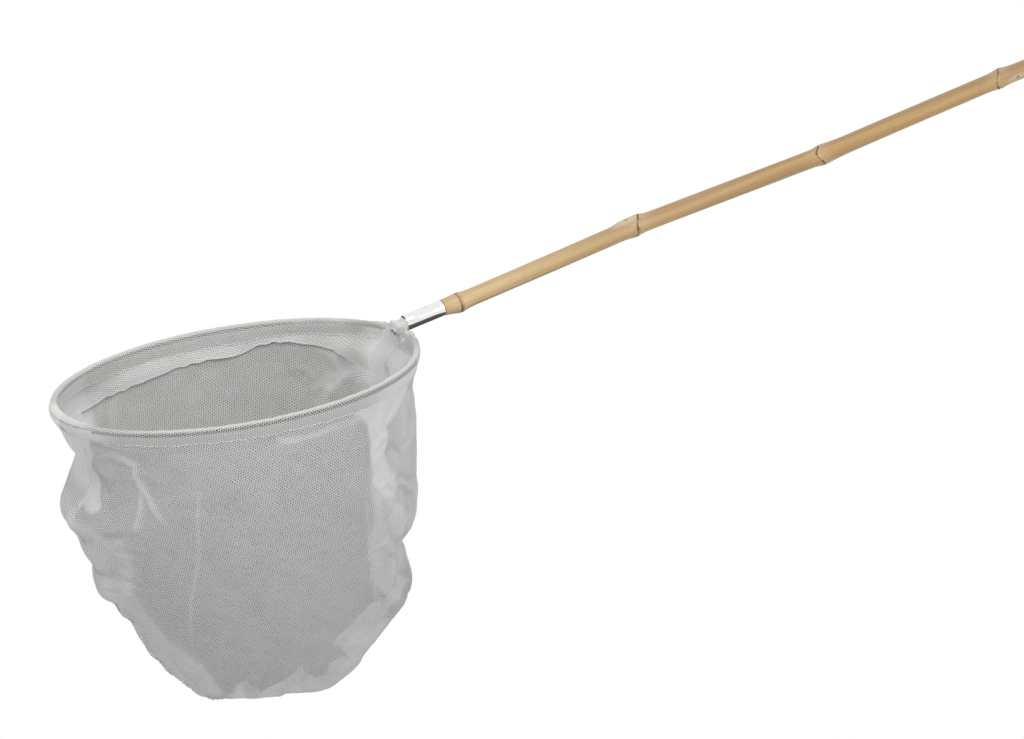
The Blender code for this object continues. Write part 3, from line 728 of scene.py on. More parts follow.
class Panel:
    """One cut of netting as a grid. Columns run from seam to seam, rows from the raw edge to the foot."""

    def __init__(self, side):
        self.side = side
        share = np.linspace(0, 1, net_columns + 1)[None, :]
        uneven_sewing = 0.0004 * np.sin(share * 170 + 2 * np.sin(share * 50))
        uneven_cut = 0.0005 * np.sin(share * 120 + 3 * np.sin(share * 41))
        self.stitch = hem_line(share, stitch_depths[side]) + uneven_sewing / bag_depth
        self.raw = hem_line(share, raw_depths[side]) + uneven_cut / bag_depth
        self.bunched = hem_bunched[side] * ramp(share, 0.10, 0.03)
        self.casing = casing_radius * (1 + self.bunched + 0.45 * ramp(share, 0.86, 0.94))
        self.lay_rows(share)
        self.share = share * np.ones_like(self.level)
        self.across = self.share * half_girth
        self.down = self.level * bag_depth
        to_side = np.minimum(self.share, 1 - self.share) * half_girth
        self.seam_away = np.minimum(to_side, (1 - self.level) * bag_depth * 1.15)
        self.wall = self.kind == "wall"
        self.inside = (self.kind == "flap") | (self.kind == "inner casing")
        self.below_hem = ramp(self.down, 0.008, 0.020) * (self.wall | (self.kind == "flap"))
        # Along the lower seam the netting is kept open and darker: painted shade where the seam's roll lies
        # in shadow.
        self.seam_roll_shade = np.exp(-((self.seam_away / 0.0050) ** 2)) * ramp(self.level, 0.45, 0.57)
        self.points = self.smooth_points()
        self.flat = self.flat_cut()
        self.fold()

    def lay_rows(self, share):
        """Each row's level, its distance off the wall and above the hoop, its kind, and how lumpy it is."""
        stitch, raw, casing = self.stitch, self.raw, self.casing
        rows = []
        curl = 0.0006 * np.sin(share * 47 + self.side) + 0.0003 * np.sin(share * 101)
        for row in range(flap_rows):
            loose = 1 - row / flap_rows
            hangs_in = (flap_hangs_in[self.side] + 0.5 * curl) * loose
            rows.append((stitch + (raw - stitch) * loose, -flap_gap - hangs_in, 0.0, "flap", 0.0))
        for row in range(casing_rows):
            up = row / casing_rows
            tuck = inner_tuck + (casing - inner_tuck) * math.sin(up * math.pi / 2) ** tuck_curve
            rows.append((stitch * (1 - up), -tuck, 0.0, "inner casing", up))
        for row in range(over_rows):
            turn = math.pi * (1 - row / over_rows)
            rows.append((0 * stitch, casing * math.cos(turn), casing * math.sin(turn), "over wire", 1.0))
        for row in range(casing_rows):
            low = row / casing_rows
            tuck = outer_tuck + (casing - outer_tuck) * math.cos(low * math.pi / 2) ** tuck_curve
            rows.append((stitch * low, tuck, 0.0, "outer casing", 1 - low))
        for row in range(wall_rows + 1):
            low = row / wall_rows
            level = stitch + (1 - stitch) * low * (4 - low * low) / 3
            rows.append((level, outer_tuck * (1 - low), 0.0, "wall", 0.0))
        levels, offsets, rises, kinds, lumpy = zip(*rows)
        whole_row = np.ones_like(share)
        self.level = np.clip(np.concatenate(levels), 0, 1)
        self.offset = np.concatenate([offset * whole_row for offset in offsets])
        self.rise = np.concatenate([rise * whole_row for rise in rises])
        self.kind = np.array(kinds)[:, None]
        self.lumpy = np.array(lumpy)[:, None]

    def smooth_points(self):
        """The panel before it is folded: its wall, its hem round the wire, and the hem's lumps."""
        angle = hem_gap + (math.pi - hem_gap) * self.share
        outward = np.cos(angle)
        radial = np.stack([outward * hoop_out.x, self.side * np.sin(angle), outward * hoop_out.z], -1)
        upward = np.array(hoop_up)
        points = bag_wall(self.share, self.level, self.side)
        points = points + radial * self.offset[..., None] + upward * self.rise[..., None]
        rows_down = np.cumsum(0.0006 + 0 * self.level, 0)
        lumps = crumple(self.across, rows_down, 0.0042, 71 + self.side) * (0.00022 + 0.0008 * self.bunched)
        lumps = lumps * self.lumpy * ramp(self.share, 1, 0.97)
        return points + (radial * np.sign(self.offset)[..., None] + upward * 0.8) * lumps[..., None]

    def flat_cut(self):
        """Each point on the flat cut: lengths down the mid column, and along each row from it."""
        middle = net_columns // 2
        flat_across = run_along(self.points, axis=1)
        flat_across = flat_across - flat_across[:, middle : middle + 1]
        flat_down = run_along(self.points[:, middle])[:, None] * np.ones_like(self.level)
        turned_in = (self.share - 0.5) * math.pi * (hoop_radius + self.offset)
        flat_across = np.where(self.inside, turned_in, flat_across)
        flat_down = np.where(self.inside, flat_down[flap_rows + casing_rows] - self.down, flat_down)
        return np.stack([flat_across, flat_down], -1)

    def ridge(self, line, half_width):
        """1 on a fold's line, falling off to both sides and fading out at its ends."""
        distance, travelled = line_distance(self.across, self.down, line)
        fades = ramp(travelled, 0, 0.15) * ramp(travelled, 1, 0.75)
        return np.exp(-((distance / half_width) ** 2)) * fades

    def crumpled(self, size, seed):
        return crumple(self.across, self.down, size, seed + self.side)

    def fold(self):
        """Lifts the folds, the seam's puckers and the softness of thin netting out of the smooth panel."""
        off_seam = ramp(self.seam_away, 0, 0.018)
        height = np.zeros_like(self.level)
        for panel, at_share, at_level, reach_across, reach_down, rises_by in bag_dents:
            if panel == self.side:
                dx = (self.share - at_share) * half_girth / reach_across
                dy = (self.level - at_level) * bag_depth / reach_down
                height += rises_by * np.exp(-(dx * dx) - dy * dy)
        for half_width, rises_by, _, line in panel_folds[self.side]:
            hollow_beside = 0.35 * self.ridge(line, 2.4 * half_width)
            height += rises_by * (self.ridge(line, half_width) - hollow_beside) * off_seam
        along_seam = np.where(self.share < 0.5, self.level, 2 - self.level) * bag_depth
        along_seam = along_seam + (self.share - 0.5) * 0.05
        puckers = np.sin(along_seam * 2 * math.pi / pucker_spacing + 3 * self.crumpled(0.030, 5))
        puckers = puckers * np.exp(-self.seam_away / 0.012)
        height += 0.0008 * puckers * ramp(self.level, 0, 0.3) * ramp(self.seam_away, 0, 0.004)
        height += 0.0020 * off_seam * self.crumpled(0.045, 11)
        height += 0.0008 * off_seam * self.crumpled(0.021, 21)
        height += 0.0005 * off_seam * (np.abs(self.crumpled(0.013, 31)) - 0.4)
        height *= self.below_hem
        out = np.cross(np.gradient(self.points, axis=0), np.gradient(self.points, axis=1))
        out = out / np.maximum(np.linalg.norm(out, axis=-1, keepdims=True), 1e-9)
        out = out * np.sign((out * self.points * np.array([1, 1, 0])).sum(-1, keepdims=True) + 1e-12)
        self.points = self.points + out * height[..., None]
        on_seam = self.wall & (self.seam_away < 1e-6)
        self.points[..., 1] = np.where(on_seam, self.side * 0.0003, self.points[..., 1])

    def closed_up(self):
        """How closed up the wall's netting is, by its folds and where layers lie together."""
        gathered = np.zeros_like(self.level)
        for half_width, _, closes, line in panel_folds[self.side]:
            gathered = np.maximum(gathered, closes * self.ridge(line, half_width))
        ragged = 0.0012 * self.crumpled(0.006, 41)
        clouds = self.crumpled(0.013, 51)
        for closes, soft, outline in light_patches[self.side]:
            cloudy = closes + 0.5 * closes * (1 - closes) * clouds
            cover = patch_cover(self.across + ragged, self.down + ragged, outline, soft)
            gathered = np.maximum(gathered, cloudy * cover)
        # less closed up along the lower seam: painted shade there
        return gathered * (1 - 0.9 * self.seam_roll_shade)

    def marks(self):
        """What the finish reads at each point: how gathered, shaded, lit, layered with painted light, or
        sheer it is.
        """
        share, down, outer_casing = self.share, self.down, self.kind == "outer casing"
        past_raw_edge = down - self.raw * bag_depth
        flap = 0.40 + 0.42 * ramp(past_raw_edge, -0.0016, 0)
        behind_flap = 0.22 * ramp(past_raw_edge, 0.001, -0.001)
        folded = np.where(self.kind == "flap", flap, np.where(self.wall, behind_flap, 0.30))
        # Towards both ends the flap and inner casing close up and take the lighter closed tone: painted light
        # in the shaded ends inside the bag.
        far_closes = far_closed[self.side]
        closed_ends_painted_light = np.maximum(ramp(share, 0.12, 0.06), ramp(share, far_closes, far_closes + 0.07))
        folded = np.where(self.inside, np.maximum(folded, 0.85 * closed_ends_painted_light), folded)
        gathered = np.where(self.wall, self.closed_up() * ramp(down, 0.006, 0.010), 0)
        gathered = np.clip(np.maximum(gathered, folded), 0, 1)
        # The seam closes up, less so where the painted shade of its roll lies.
        at_seam = 0.6 * np.exp(-self.seam_away / 0.003) * (1 - 0.8 * self.seam_roll_shade)
        gathered = np.maximum(gathered, at_seam * self.below_hem)
        on_casing = outer_casing | (self.kind == "inner casing")
        rim = self.rise - np.where(on_casing, down, np.where(self.kind == "over wire", 0, 1))
        shaded = ramp(rim, -0.0022, -0.0014) * ramp(rim, 0.0012, 0.0004) * ramp(share, 0.10, 0.35)
        shaded = shaded * (1 - 0.8 * ramp(share, 0.80, 0.92)) * rim_shade[self.side]
        lit = ramp(rim, 0.0010, 0.0019) * (1 - 0.5 * ramp(share, 0.72, 0.87))
        plain_casing = ramp(share, 0.30, 0.42) * ramp(share, 0.90, 0.82)
        gathered = np.where(outer_casing, np.maximum(gathered, 0.92 - 0.37 * plain_casing), gathered)
        gathered = np.where(shaded + lit > 0.3, 0.85 * ramp(share, 0.88, 0.94), gathered)
        return {
            "gathered": gathered,
            "shaded": shaded,
            "lit": lit,
            "casing": outer_casing * (1 - shaded) * plain_casing,
            # The flap and inner casing lie over the wall in two layers, and their thread takes the lighter
            # closed tone: painted light where the bag's inside is in shade.
            "doubled_and_painted_light": 1.0 * (self.kind == "inner casing") + 0.75 * (self.kind == "flap") + 0 * share,
            "sheer": sheer_corner[self.side] * ramp(share, 0.16, 0.08) * ramp(self.level, 0.20, 0.10),
        }

    def slack(self):
        """How much spare length the wall has to pucker with: most at the seam and at the handle's end."""
        slack = np.exp(-self.seam_away / 0.030)
        slack = slack + 0.3 * ramp(self.share, 0.70, 0.85) * ramp(self.level, 0.75, 0.55)
        slack = np.clip(slack + 0.6 * ramp(self.share, 0.40, 0.28), 0, 1) * ramp(self.down, 0.012, 0.032)
        if self.side == back_side:
            slack = slack * (0.25 + 0.55 * ramp(self.level, 0.30, 0.50))
        return slack * (0.25 + 0.75 * ramp(self.seam_away, 0, 0.008))


def close_seam(front, back):
    """Brings both panels' edges to one line in the handle's plane, easing the netting beside it."""
    eased_over = 0.014
    beside = np.exp(-np.linspace(0, 1, net_columns + 1) * half_girth / eased_over)
    above = np.exp(-np.linspace(1, 0, wall_rows + 1) * bag_depth / eased_over)
    middles = [(front[wall_start:, edge] + back[wall_start:, edge]) / 2 for edge in (0, -1)]
    foot = (front[-1] + back[-1]) / 2
    for line in (*middles, foot):
        line[:, 1] = 0
    for panel in (front, back):
        wall = panel[wall_start:]
        wall += (foot - wall[-1])[None, :] * above[:, None, None]
        for edge, middle, reach in ((0, middles[0], beside), (-1, middles[1], beside[::-1])):
            wall += (middle - wall[:, edge])[:, None] * reach[None, :, None]


net_hold, net_firm_hold = 0.03, 0.96
net_slack = 0.065
net_frames = 18
net_gravity = 0.05
net_cloth = {
    "quality": 6, "mass": 0.10, "tension_stiffness": 14, "compression_stiffness": 14, "shear_stiffness": 6,
    "bending_stiffness": 0.03, "air_damping": 2.0, "vertex_group_mass": "held", "pin_stiffness": 1.0,
    "vertex_group_shrink": "sewn", "shrink_min": -net_slack, "shrink_max": 0.0,
}


def let_pucker(front, back, front_slack, back_slack):
    """Lets the sewn bag pucker: thin cloth, slack beside the seam and held where it is drawn smooth."""
    skip = 2
    coarse = [panel[wall_start::skip, ::skip].copy() for panel in (front, back)]
    rows, columns = coarse[0].shape[:2]
    front_ids = np.arange(rows * columns).reshape(rows, columns)
    back_ids = front_ids + rows * columns
    back_ids[:, 0], back_ids[:, -1], back_ids[-1] = front_ids[:, 0], front_ids[:, -1], front_ids[-1]
    slack_of = np.zeros(2 * rows * columns)
    slack_of[back_ids] = back_slack[wall_start::skip, ::skip]
    slack_of[front_ids] = front_slack[wall_start::skip, ::skip]
    shape = bmesh.new()
    place_id = shape.verts.layers.int.new("place_id")
    for points, ids in zip(coarse, (front_ids, back_ids)):
        made = bmesh.ops.create_grid(shape, x_segments=columns - 1, y_segments=rows - 1, size=1)
        for corner in made["verts"]:
            column = round((corner.co.x + 1) / 2 * (columns - 1))
            row = round((corner.co.y + 1) / 2 * (rows - 1))
            corner.co = points[row, column]
            corner[place_id] = ids[row, column]
    bmesh.ops.remove_doubles(shape, verts=shape.verts, dist=2e-6)
    hanging = add_object("hanging_net", shape)
    ids = np.empty(len(hanging.data.vertices), np.int32)
    hanging.data.attributes["place_id"].data.foreach_get("value", ids)
    held = hanging.vertex_groups.new(name="held")
    sewn = hanging.vertex_groups.new(name="sewn")
    for vertex, place in enumerate(ids.tolist()):
        slack = float(slack_of[place])
        on_hem = place % (rows * columns) < columns
        hold = 1.0 if on_hem else net_hold + (net_firm_hold - net_hold) * (1 - slack) ** 3
        held.add([vertex], hold, "REPLACE")
        sewn.add([vertex], 1 - slack, "REPLACE")
    cloth = hanging.modifiers.new("hang", "CLOTH")
    for setting, value in net_cloth.items():
        setattr(cloth.settings, setting, value)
    cloth.settings.effector_weights.gravity = net_gravity
    cloth.collision_settings.use_collision = False
    cloth.point_cache.frame_start = 1
    cloth.point_cache.frame_end = net_frames
    for moment in range(1, net_frames + 1):
        bpy.context.scene.frame_set(moment)
    hung = hanging.evaluated_get(bpy.context.evaluated_depsgraph_get()).to_mesh()
    places = np.empty(len(hung.vertices) * 3, np.float32)
    hung.vertices.foreach_get("co", places)
    bpy.data.objects.remove(hanging)
    bpy.context.scene.frame_set(1)
    settled = np.zeros((2 * rows * columns, 3))
    settled[ids] = places.reshape(-1, 3)
    fine_columns = np.arange(net_columns + 1) / skip
    fine_rows = np.arange(wall_rows + 1) / skip
    for panel, start, panel_ids in zip((front, back), coarse, (front_ids, back_ids)):
        moved = settled[panel_ids] - start
        for axis in range(3):
            wide = np.stack([np.interp(fine_columns, np.arange(columns), line) for line in moved[..., axis]])
            tall = np.stack([np.interp(fine_rows, np.arange(rows), line) for line in wide.T], 1)
            panel[wall_start:, :, axis] += tall


def add_netting(name, points, flat, marks, finish, outward):
    """A sheet of netting: a plain grid, bent to a grid of points, with its flat cut as its UV map."""
    rows, columns = points.shape[0] - 1, points.shape[1] - 1
    grid = bmesh.new()
    bmesh.ops.create_grid(grid, x_segments=columns, y_segments=rows, size=1)
    if outward < 0:
        bmesh.ops.reverse_faces(grid, faces=grid.faces)
    sheet = add_piece(name, grid, finish)
    mesh = sheet.data
    start = np.empty(len(mesh.vertices) * 3, np.float32)
    mesh.vertices.foreach_get("co", start)
    start = start.reshape(-1, 3)
    column = np.rint((start[:, 0] + 1) / 2 * columns).astype(int)
    row = np.rint((start[:, 1] + 1) / 2 * rows).astype(int)
    placed = points[row, column] + np.array(hoop_middle)
    mesh.vertices.foreach_set("co", placed.astype(np.float32).ravel())
    loop_corner = np.empty(len(mesh.loops), np.int32)
    mesh.loops.foreach_get("vertex_index", loop_corner)
    cut = mesh.uv_layers.new(name="flat_cut")
    cut.uv.foreach_set("vector", flat[row, column][loop_corner].astype(np.float32).ravel())
    for mark, values in marks.items():
        layer = mesh.attributes.new(mark, "FLOAT", "POINT")
        layer.data.foreach_set("value", values[row, column].astype(np.float32))
    if mesh.attributes.get("sharp_edge"):
        mesh.attributes.remove(mesh.attributes["sharp_edge"])
    mesh.update()
    return sheet


mesh_pitch = 0.0018
mesh_row = 0.00155
mesh_lean = math.radians(12)
# The edge of a hole, from open to thread, in mesh pitches
hole_edge = (0.22, 0.40)
knit_drift = 0.0022
tone_range = (0.86, 1.13)
lit_thread = (0.60, 0.59, 0.555)
casing_thread = (0.49, 0.485, 0.46)
shaded_hole = (0.02, 0.02, 0.018)
lit_hole = (0.36, 0.35, 0.32)


def netting_finish(name, thread_tone, closed_tone, hole_painted_shade, hole_cover):
    """Knitted netting: round holes in staggered rows, which close up where it is gathered or layered."""
    net = Finish(name, Sheen_Weight=0.12, Sheen_Roughness=0.5)
    flat = net.node("ShaderNodeUVMap", {"uv_map": "flat_cut"})
    drift = net.node("ShaderNodeTexNoise", {}, {"Vector": flat, "Scale": 150.0, "Detail": 2.0}, output=1)
    drift = net.node("ShaderNodeVectorMath", {"operation": "SUBTRACT"}, {0: drift, 1: (0.5, 0.5, 0.5)})
    drift = net.node("ShaderNodeVectorMath", {"operation": "SCALE"}, {0: drift, "Scale": knit_drift})
    knit = net.node("ShaderNodeVectorMath", {"operation": "ADD"}, {0: flat, 1: drift})
    across, down = net.part(knit, 0), net.part(knit, 1)
    column = (across * math.cos(mesh_lean) - down * math.sin(mesh_lean)) / mesh_row
    along = (across * math.sin(mesh_lean) + down * math.cos(mesh_lean)) / mesh_pitch
    stagger = (column.math("FLOOR") * 0.5).math("FRACT")
    from_hole_along = (along + stagger).math("FRACT") - 0.5
    from_hole_across = (column.math("FRACT") - 0.5) * (mesh_row / mesh_pitch)
    from_hole = (from_hole_along * from_hole_along + from_hole_across * from_hole_across).math("SQRT")
    gathered = net.attribute("gathered")
    shaded = net.attribute("shaded")
    lit = net.attribute("lit")
    hole = 1 - net.step(from_hole - 0.05 * shaded, *hole_edge)
    hole = hole * (1 - gathered) * (1 - 0.2 * lit)
    darker, lighter = (tuple(tone * share for tone in thread_tone) for share in tone_range)
    thread = net.blend(net.noise(flat, 45.0, 4.0, 0.75), darker, lighter)
    # Rows in two layers take the lighter closed tone, partly as painted light for the shade inside the bag.
    thread = net.blend(gathered.math("MAXIMUM", net.attribute("doubled_and_painted_light")), thread, closed_tone)
    thread = net.blend(lit * 0.8, thread, lit_thread)
    thread = net.blend(net.attribute("casing") * 0.6, thread, casing_thread)
    # The holes are a part-clear film in a dark tone: painted shade seen through the netting, darker still
    # along the rim's flanks.
    dark = net.blend(shaded, hole_painted_shade, shaded_hole)
    dark = net.blend(lit, dark, lit_hole)
    cover = hole_cover + (1 - hole_cover) * (shaded + lit).math("MINIMUM", 1.0)
    net.show(
        Base_Color=net.blend(hole, thread, dark),
        Roughness=0.62 + 0.25 * hole,
        Alpha=(1 - hole * (1 - cover)) * (1 - net.attribute("sheer")),
        Normal=net.bump(1 - hole, 0.3, 0.0003),
    )
    return net


# Two copies of one white netting: the back copy's thread and closed tones are painted lighter than the
# front's, standing in for light the bag's inside lacks. Each copy's hole tone is painted shade.
front_net = netting_finish(
    "white_netting_front", thread_tone=(0.476, 0.476, 0.476), closed_tone=(0.59, 0.59, 0.595),
    hole_painted_shade=(0.115, 0.115, 0.115), hole_cover=0.50,
)
back_net = netting_finish(
    "white_netting_back", thread_tone=(0.575, 0.57, 0.56), closed_tone=(0.715, 0.713, 0.708),
    hole_painted_shade=(0.18, 0.177, 0.172), hole_cover=0.90,
)
front_cut, back_cut = Panel(front_side), Panel(back_side)
close_seam(front_cut.points, back_cut.points)
let_pucker(front_cut.points, back_cut.points, front_cut.slack(), back_cut.slack())
front = add_netting("front_netting", front_cut.points, front_cut.flat, front_cut.marks(), front_net, 1)
back = add_netting("back_netting", back_cut.points, back_cut.flat, back_cut.marks(), back_net, -1)
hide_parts("front_net_panel")
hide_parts("back_net_panel")

# Seam allowance: the two panels' cut edges, sewn together and left standing about 15 mm into the bag.
# It is netting too, in two layers, and it puckers where the seam turns the bag's bottom corners.
allowance_width = 0.0155
allowance_start = flap_rows + casing_rows + over_rows + 3
allowance_steps, seam_steps = 14, 420
seam_smoothing = 160
bag_heart = np.array([0.015, 0, -0.09])
pucker_length = 0.030
wave_length = 0.047


def points_at(lengths, path):
    """The points of a path at some lengths along it."""
    return np.stack([np.interp(lengths, run_along(path), path[:, axis]) for axis in range(3)], -1)


down_handle_end = front_cut.points[allowance_start:, 0]
up_far_end = front_cut.points[allowance_start:, -1][::-1]
seam_line = np.concatenate([down_handle_end, front_cut.points[-1, 1:-1], up_far_end])
seam_line[:, 1] = 0
seam_length = run_along(seam_line)[-1]
seam_at = np.linspace(0, seam_length, seam_steps + 1)
seam_line = points_at(seam_at, seam_line)
smooth_line = seam_line.copy()
for _ in range(seam_smoothing):
    smooth_line[1:-1] = (smooth_line[:-2] + 2 * smooth_line[1:-1] + smooth_line[2:]) / 4
heading = np.gradient(smooth_line, axis=0)
heading = heading / np.linalg.norm(heading, axis=-1, keepdims=True)
inward = np.stack([heading[:, 2], 0 * heading[:, 0], -heading[:, 0]], -1)
inward = inward * np.sign((inward * (bag_heart - smooth_line)).sum(-1, keepdims=True))
reach = np.linspace(0, 1, allowance_steps + 1)[:, None]
run = seam_at[None, :]
around = run / seam_length
turning = np.exp(-(((around - 0.40) / 0.16) ** 2)) + 0.5 * np.exp(-(((around - 0.62) / 0.12) ** 2))
zigzag = np.sin(run * 2 * math.pi / pucker_length + 2 * np.sin(run * 37))
uneven = 0.06 * np.sin(run * 300 + 2 * np.sin(run * 90))
width = allowance_width * (1 + 0.22 * turning * zigzag + uneven)
allowance_points = seam_line[None] + inward[None] * (reach * width)[..., None]
flop = -0.0045 * turning * reach**1.5
flop = flop + 0.0032 * turning * reach * np.sin(run * 2 * math.pi / pucker_length + 1.2)
flop = flop + 0.0012 * reach * np.sin(run * 2 * math.pi / wave_length)
allowance_points[..., 1] += flop
from_seam, from_cut_edge = reach * width, (1 - reach) * width
allowance_gathered = 0.55 + 0.4 * np.exp(-from_seam / 0.002) + 0.3 * np.exp(-from_cut_edge / 0.001)
allowance_marks = {
    "gathered": np.clip(allowance_gathered, 0, 1),
    "sheer": 0.35 * np.exp(-run / 0.03) + 0 * reach,
}
allowance_cut = np.stack(np.broadcast_arrays(from_seam, run), -1)
# Its tones are painted lighter than the walls': partly for its two layers, partly as painted light for the
# shade inside the bag. Its hole tone is painted shade.
allowance_net_painted_light = netting_finish(
    "white_netting_doubled", thread_tone=(0.68, 0.68, 0.675), closed_tone=(0.76, 0.76, 0.755),
    hole_painted_shade=(0.36, 0.36, 0.355), hole_cover=0.85,
)
allowance = add_netting("seam_allowance", allowance_points, allowance_cut, allowance_marks, allowance_net_painted_light, 1)

# Hem tails: the spare netting at the two ends of the hem, bunched round the wire's tangs.
# It fills the hem's gap at the handle, up to the ferrule's mouth.
tail_rows, tail_columns = 28, 72
tail_wrap = math.radians(168)
tail_radius = 0.008
tail_flat_radius = 0.0085
tail_gathers = 1.2
tail_inside_hoop = 0.0045
tail_above_hoop = 0.0012
tail_past_mouth = 0.0008
tail_start = np.array(hoop_out) * (hoop_radius - tail_inside_hoop) + np.array(hoop_up) * tail_above_hoop
tail_end = np.array(ferrule_mouth - hoop_middle) + np.array(handle_along) * tail_past_mouth
tail_way = tail_end - tail_start
tail_length = np.linalg.norm(tail_way)
tail_aside = np.array([0, 1, 0])
tail_over = np.cross(tail_way / tail_length, tail_aside)

along = np.linspace(0, 1, tail_rows + 1)[:, None]
turned = np.linspace(-1, 1, tail_columns + 1)[None, :] * tail_wrap
ruffle = np.abs(crumple(turned * tail_radius, along * tail_length, 0.0042, 61))
ruffle = ruffle + 0.5 * np.abs(crumple(turned * tail_radius, along * tail_length, 0.0019, 62))
drawn_in = 0.72 + 0.28 * ramp(along, 0, 0.35)
half_wide = (0.0068 - 0.0016 * ramp(along, 0, 1)) * drawn_in + 0.0004 * ruffle
knob = np.exp(-(((along - 0.32) / 0.22) ** 2) - ((turned - 0.5) / 0.70) ** 2)
half_high = (0.0036 + 0.0010 * along) * drawn_in + 0.0004 * ruffle + 0.0040 * knob
frill = 0.0003 * np.sin(5 * turned) + 0.0001 * np.sin(13 * turned + 1)
tail_points = tail_start + tail_way * (along + frill / tail_length * (2 * along - 1))[..., None]
tail_points = tail_points + tail_aside * (half_wide * np.sin(turned))[..., None]
tail_points = tail_points + tail_over * (half_high * np.cos(turned))[..., None]
tail_cut = np.stack(np.broadcast_arrays(turned * tail_flat_radius, along * tail_length * tail_gathers), -1)
tail_marks = {"gathered": np.clip(1 - 0.35 * ruffle, 0, 1)}
tails = add_netting("hem_tails", tail_points, tail_cut, tail_marks, front_net, 1)

# Hem stitching: one row of white spun thread round the bag, just under the wire.
# It is sewn by machine through wall and flap, and closes the casing.
hem_stitch_length = 0.0030
hem_thread_radius = 0.00034
# How far the thread stands off the netting along one stitch, in radii of the thread
stitch_lift = (-1.6, 0.4, 1.0, 0.4)
thread_shade = (0.58, 0.58, 0.565)
thread_light = (0.70, 0.70, 0.68)


def sew(name, paths, length, radius, finish):
    """Lays plump stitches end to end along each path. The thread is thin where it dips into the netting."""
    curve = bpy.data.curves.new(name, "CURVE")
    curve.dimensions = "3D"
    curve.bevel_depth = radius
    curve.bevel_resolution = 1
    curve.use_fill_caps = True
    for path, outward in paths:
        run = run_along(path)
        count = int(run[-1] / length)
        at = np.linspace(0, count * length, len(stitch_lift) * count + 1)
        lift = np.tile(stitch_lift, count + 1)[: len(at)]
        places = points_at(at, path)
        ways = np.stack([np.interp(at, run, outward[:, axis]) for axis in range(3)], -1)
        spline = curve.splines.new("POLY")
        spline.points.add(len(at) - 1)
        for knot, place, way, up in zip(spline.points, places, ways, lift):
            knot.co = (*(place + way * up * radius), 1)
            knot.radius = 0.55 + 0.45 * max(up, 0)
    loose = bpy.data.objects.new(name + "_path", curve)
    bpy.context.scene.collection.objects.link(loose)
    bpy.context.view_layer.update()
    laid = bpy.data.meshes.new_from_object(loose.evaluated_get(bpy.context.evaluated_depsgraph_get()))
    bpy.data.objects.remove(loose)
    shape = bmesh.new()
    shape.from_mesh(laid)
    bpy.data.meshes.remove(laid)
    bmesh.ops.remove_doubles(shape, verts=shape.verts, dist=1e-7)
    bmesh.ops.recalc_face_normals(shape, faces=shape.faces)
    stitches = add_piece(name, shape, finish)
    return stitches


thread = Finish("white_thread", Sheen_Weight=0.2, Sheen_Roughness=0.4)
twist_inputs = {"Vector": thread.place(), "Scale": 900.0}
thread_twist = thread.node("ShaderNodeTexWave", {"bands_direction": "DIAGONAL"}, twist_inputs)
thread.show(
    Base_Color=thread.blend(thread_twist, thread_shade, thread_light),
    Roughness=0.75 - 0.15 * thread_twist,
    Normal=thread.bump(thread_twist, 0.3, 0.0001),
)
hem_paths = []
for panel in (front_cut.points, back_cut.points):
    for row, facing in ((flap_rows, -1), (wall_start, 1)):
        outward = panel[row] * np.array([1, 1, 0])
        outward = outward / np.linalg.norm(outward, axis=-1, keepdims=True) * facing
        hem_paths.append((panel[row] + np.array(hoop_middle), outward))
hem_stitches = sew("hem_stitches", hem_paths, hem_stitch_length, hem_thread_radius, thread)
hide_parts("hem_stitching")

# Seam stitching: white spun thread along the seam, down both sides and across the bottom.
# It binds the two panels' edges together, and stands a little proud of them.
seam_stitch_length = 0.0034
seam_thread_radius = 0.00028
seam_stands_proud = 0.0001
unsewn_steps = 24
sewn_part = slice(unsewn_steps, -unsewn_steps)

seam_outward = -inward[sewn_part]
seam_path = seam_line[sewn_part] + seam_outward * seam_stands_proud + np.array(hoop_middle)
seam_paths = [(seam_path, seam_outward)]
seam_stitches = sew("seam_stitches", seam_paths, seam_stitch_length, seam_thread_radius, thread)
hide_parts("seam_stitching")

# Stage: a pale floor well below the net, an even white backdrop, and two big soft lamps above and in front.
# A dark card under the net shows only in the metal's shine, and the camera has the photograph's view.
floor_place = (0, 0, -0.95)
floor_half = 6
card_place = (-0.7, -0.25, -0.75)
card_half = 0.7
ambient_light = 0.80
under_net = (-0.6, 0, -0.95)
lamp_size = 1.4
view_azimuth = math.radians(-26.76)
view_elevation = math.radians(12.49)
camera_place = Vector((-1.743575, -2.176506, 0.290666))
camera_lens = 123.613


def add_stage(name, cuts, half, place, finish):
    """A flat square of the stage, which isn't part of the net."""
    shape = bmesh.new()
    bmesh.ops.create_grid(shape, x_segments=cuts, y_segments=cuts, size=half)
    bmesh.ops.translate(shape, verts=shape.verts, vec=place)
    made = add_object(name, shape)
    made.data.materials.append(finish.material)
    return made


def seen_directly(nodes):
    """1 for a ray that shows a surface to the camera, in a mirror or through glass, and 0 for others."""
    rays = ("Is Camera Ray", "Is Glossy Ray", "Is Transmission Ray")
    camera_ray, glossy_ray, clear_ray = (nodes.node("ShaderNodeLightPath", output=ray) for ray in rays)
    return camera_ray.math("MAXIMUM", glossy_ray).math("MAXIMUM", clear_ray)


def add_lamp(name, place, aim, power):
    lamp = bpy.data.lights.new(name, "AREA")
    lamp.shape = "DISK"
    lamp.size = lamp_size
    lamp.energy = power
    made = bpy.data.objects.new(name, lamp)
    made.location = place
    made.rotation_euler = (Vector(aim) - Vector(place)).to_track_quat("-Z", "Y").to_euler()
    bpy.context.scene.collection.objects.link(made)


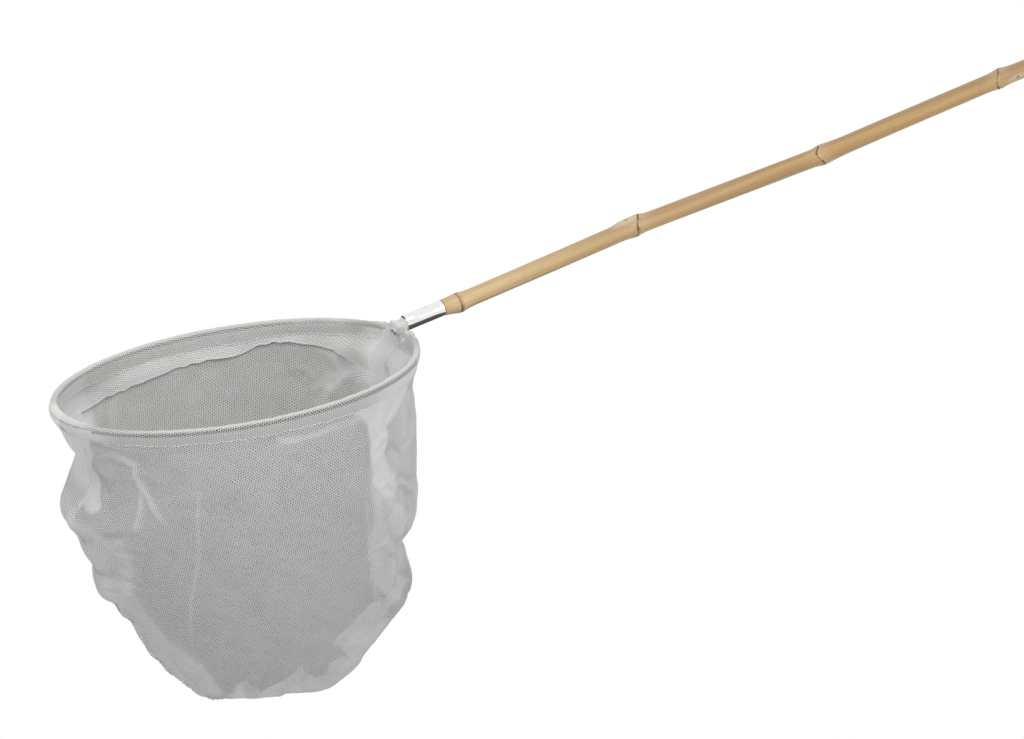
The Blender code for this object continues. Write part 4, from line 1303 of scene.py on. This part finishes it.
pale = Finish("pale_floor", Roughness=0.9, Base_Color=(0.86, 0.86, 0.86))
glow = pale.node("ShaderNodeEmission", {}, {"Color": (1, 1, 1), "Strength": 1.0})
both_places = {0: pale.place(), 1: under_net}
from_net = pale.node("ShaderNodeVectorMath", {"operation": "DISTANCE"}, both_places, output=1)
bright = seen_directly(pale) * pale.step(from_net, 0.1, 1.3)
lit_floor = Value(pale, pale.shader.outputs[0])
floor_shader = pale.node("ShaderNodeMixShader", {}, {0: bright, 1: lit_floor, 2: glow})
pale.feed(pale.tree.nodes["Material Output"].inputs["Surface"], floor_shader)
add_stage("floor", 8, floor_half, floor_place, pale)

dull = Finish("dark_card", Roughness=1.0, Base_Color=(0.06, 0.06, 0.058))
card = add_stage("dark_card", 1, card_half, card_place, dull)
for ray in ("camera", "diffuse", "shadow", "transmission"):
    setattr(card, "visible_" + ray, False)

world = bpy.data.worlds.new("backdrop")
bpy.context.scene.world = world
world.use_nodes = True
sky = Nodes(world.node_tree)
soft_light = sky.tree.nodes["Background"]
sky.feed(soft_light.inputs["Color"], (1, 1, 1))
sky.feed(soft_light.inputs["Strength"], ambient_light)
ambient = Value(sky, soft_light.outputs[0])
white = sky.node("ShaderNodeBackground", {}, {"Color": (1, 1, 1), "Strength": 1.0})
sky_shader = sky.node("ShaderNodeMixShader", {}, {0: seen_directly(sky), 1: ambient, 2: white})
sky.feed(sky.tree.nodes["World Output"].inputs["Surface"], sky_shader)

add_lamp("soft_key", (-1.5, -1.3, 1.6), (-0.6, 0, -0.2), 25)
add_lamp("soft_fill", (0.6, -1.9, 0.9), (-0.4, 0, -0.1), 10)

to_right = Vector((math.cos(view_azimuth), math.sin(view_azimuth), 0))
level_way = Vector((math.sin(view_azimuth), -math.cos(view_azimuth), 0))
towards_camera = level_way * math.cos(view_elevation) + Vector((0, 0, math.sin(view_elevation)))
to_top = towards_camera.cross(to_right)
camera_data = bpy.data.cameras.new("camera")
camera_data.lens = camera_lens
camera_data.sensor_width = 36
camera = bpy.data.objects.new("camera", camera_data)
turn = Matrix((to_right, to_top, towards_camera)).transposed().to_4x4()
camera.matrix_world = Matrix.Translation(camera_place) @ turn
bpy.context.scene.collection.objects.link(camera)
bpy.context.scene.camera = camera
bpy.context.scene.view_settings.view_transform = "Standard"
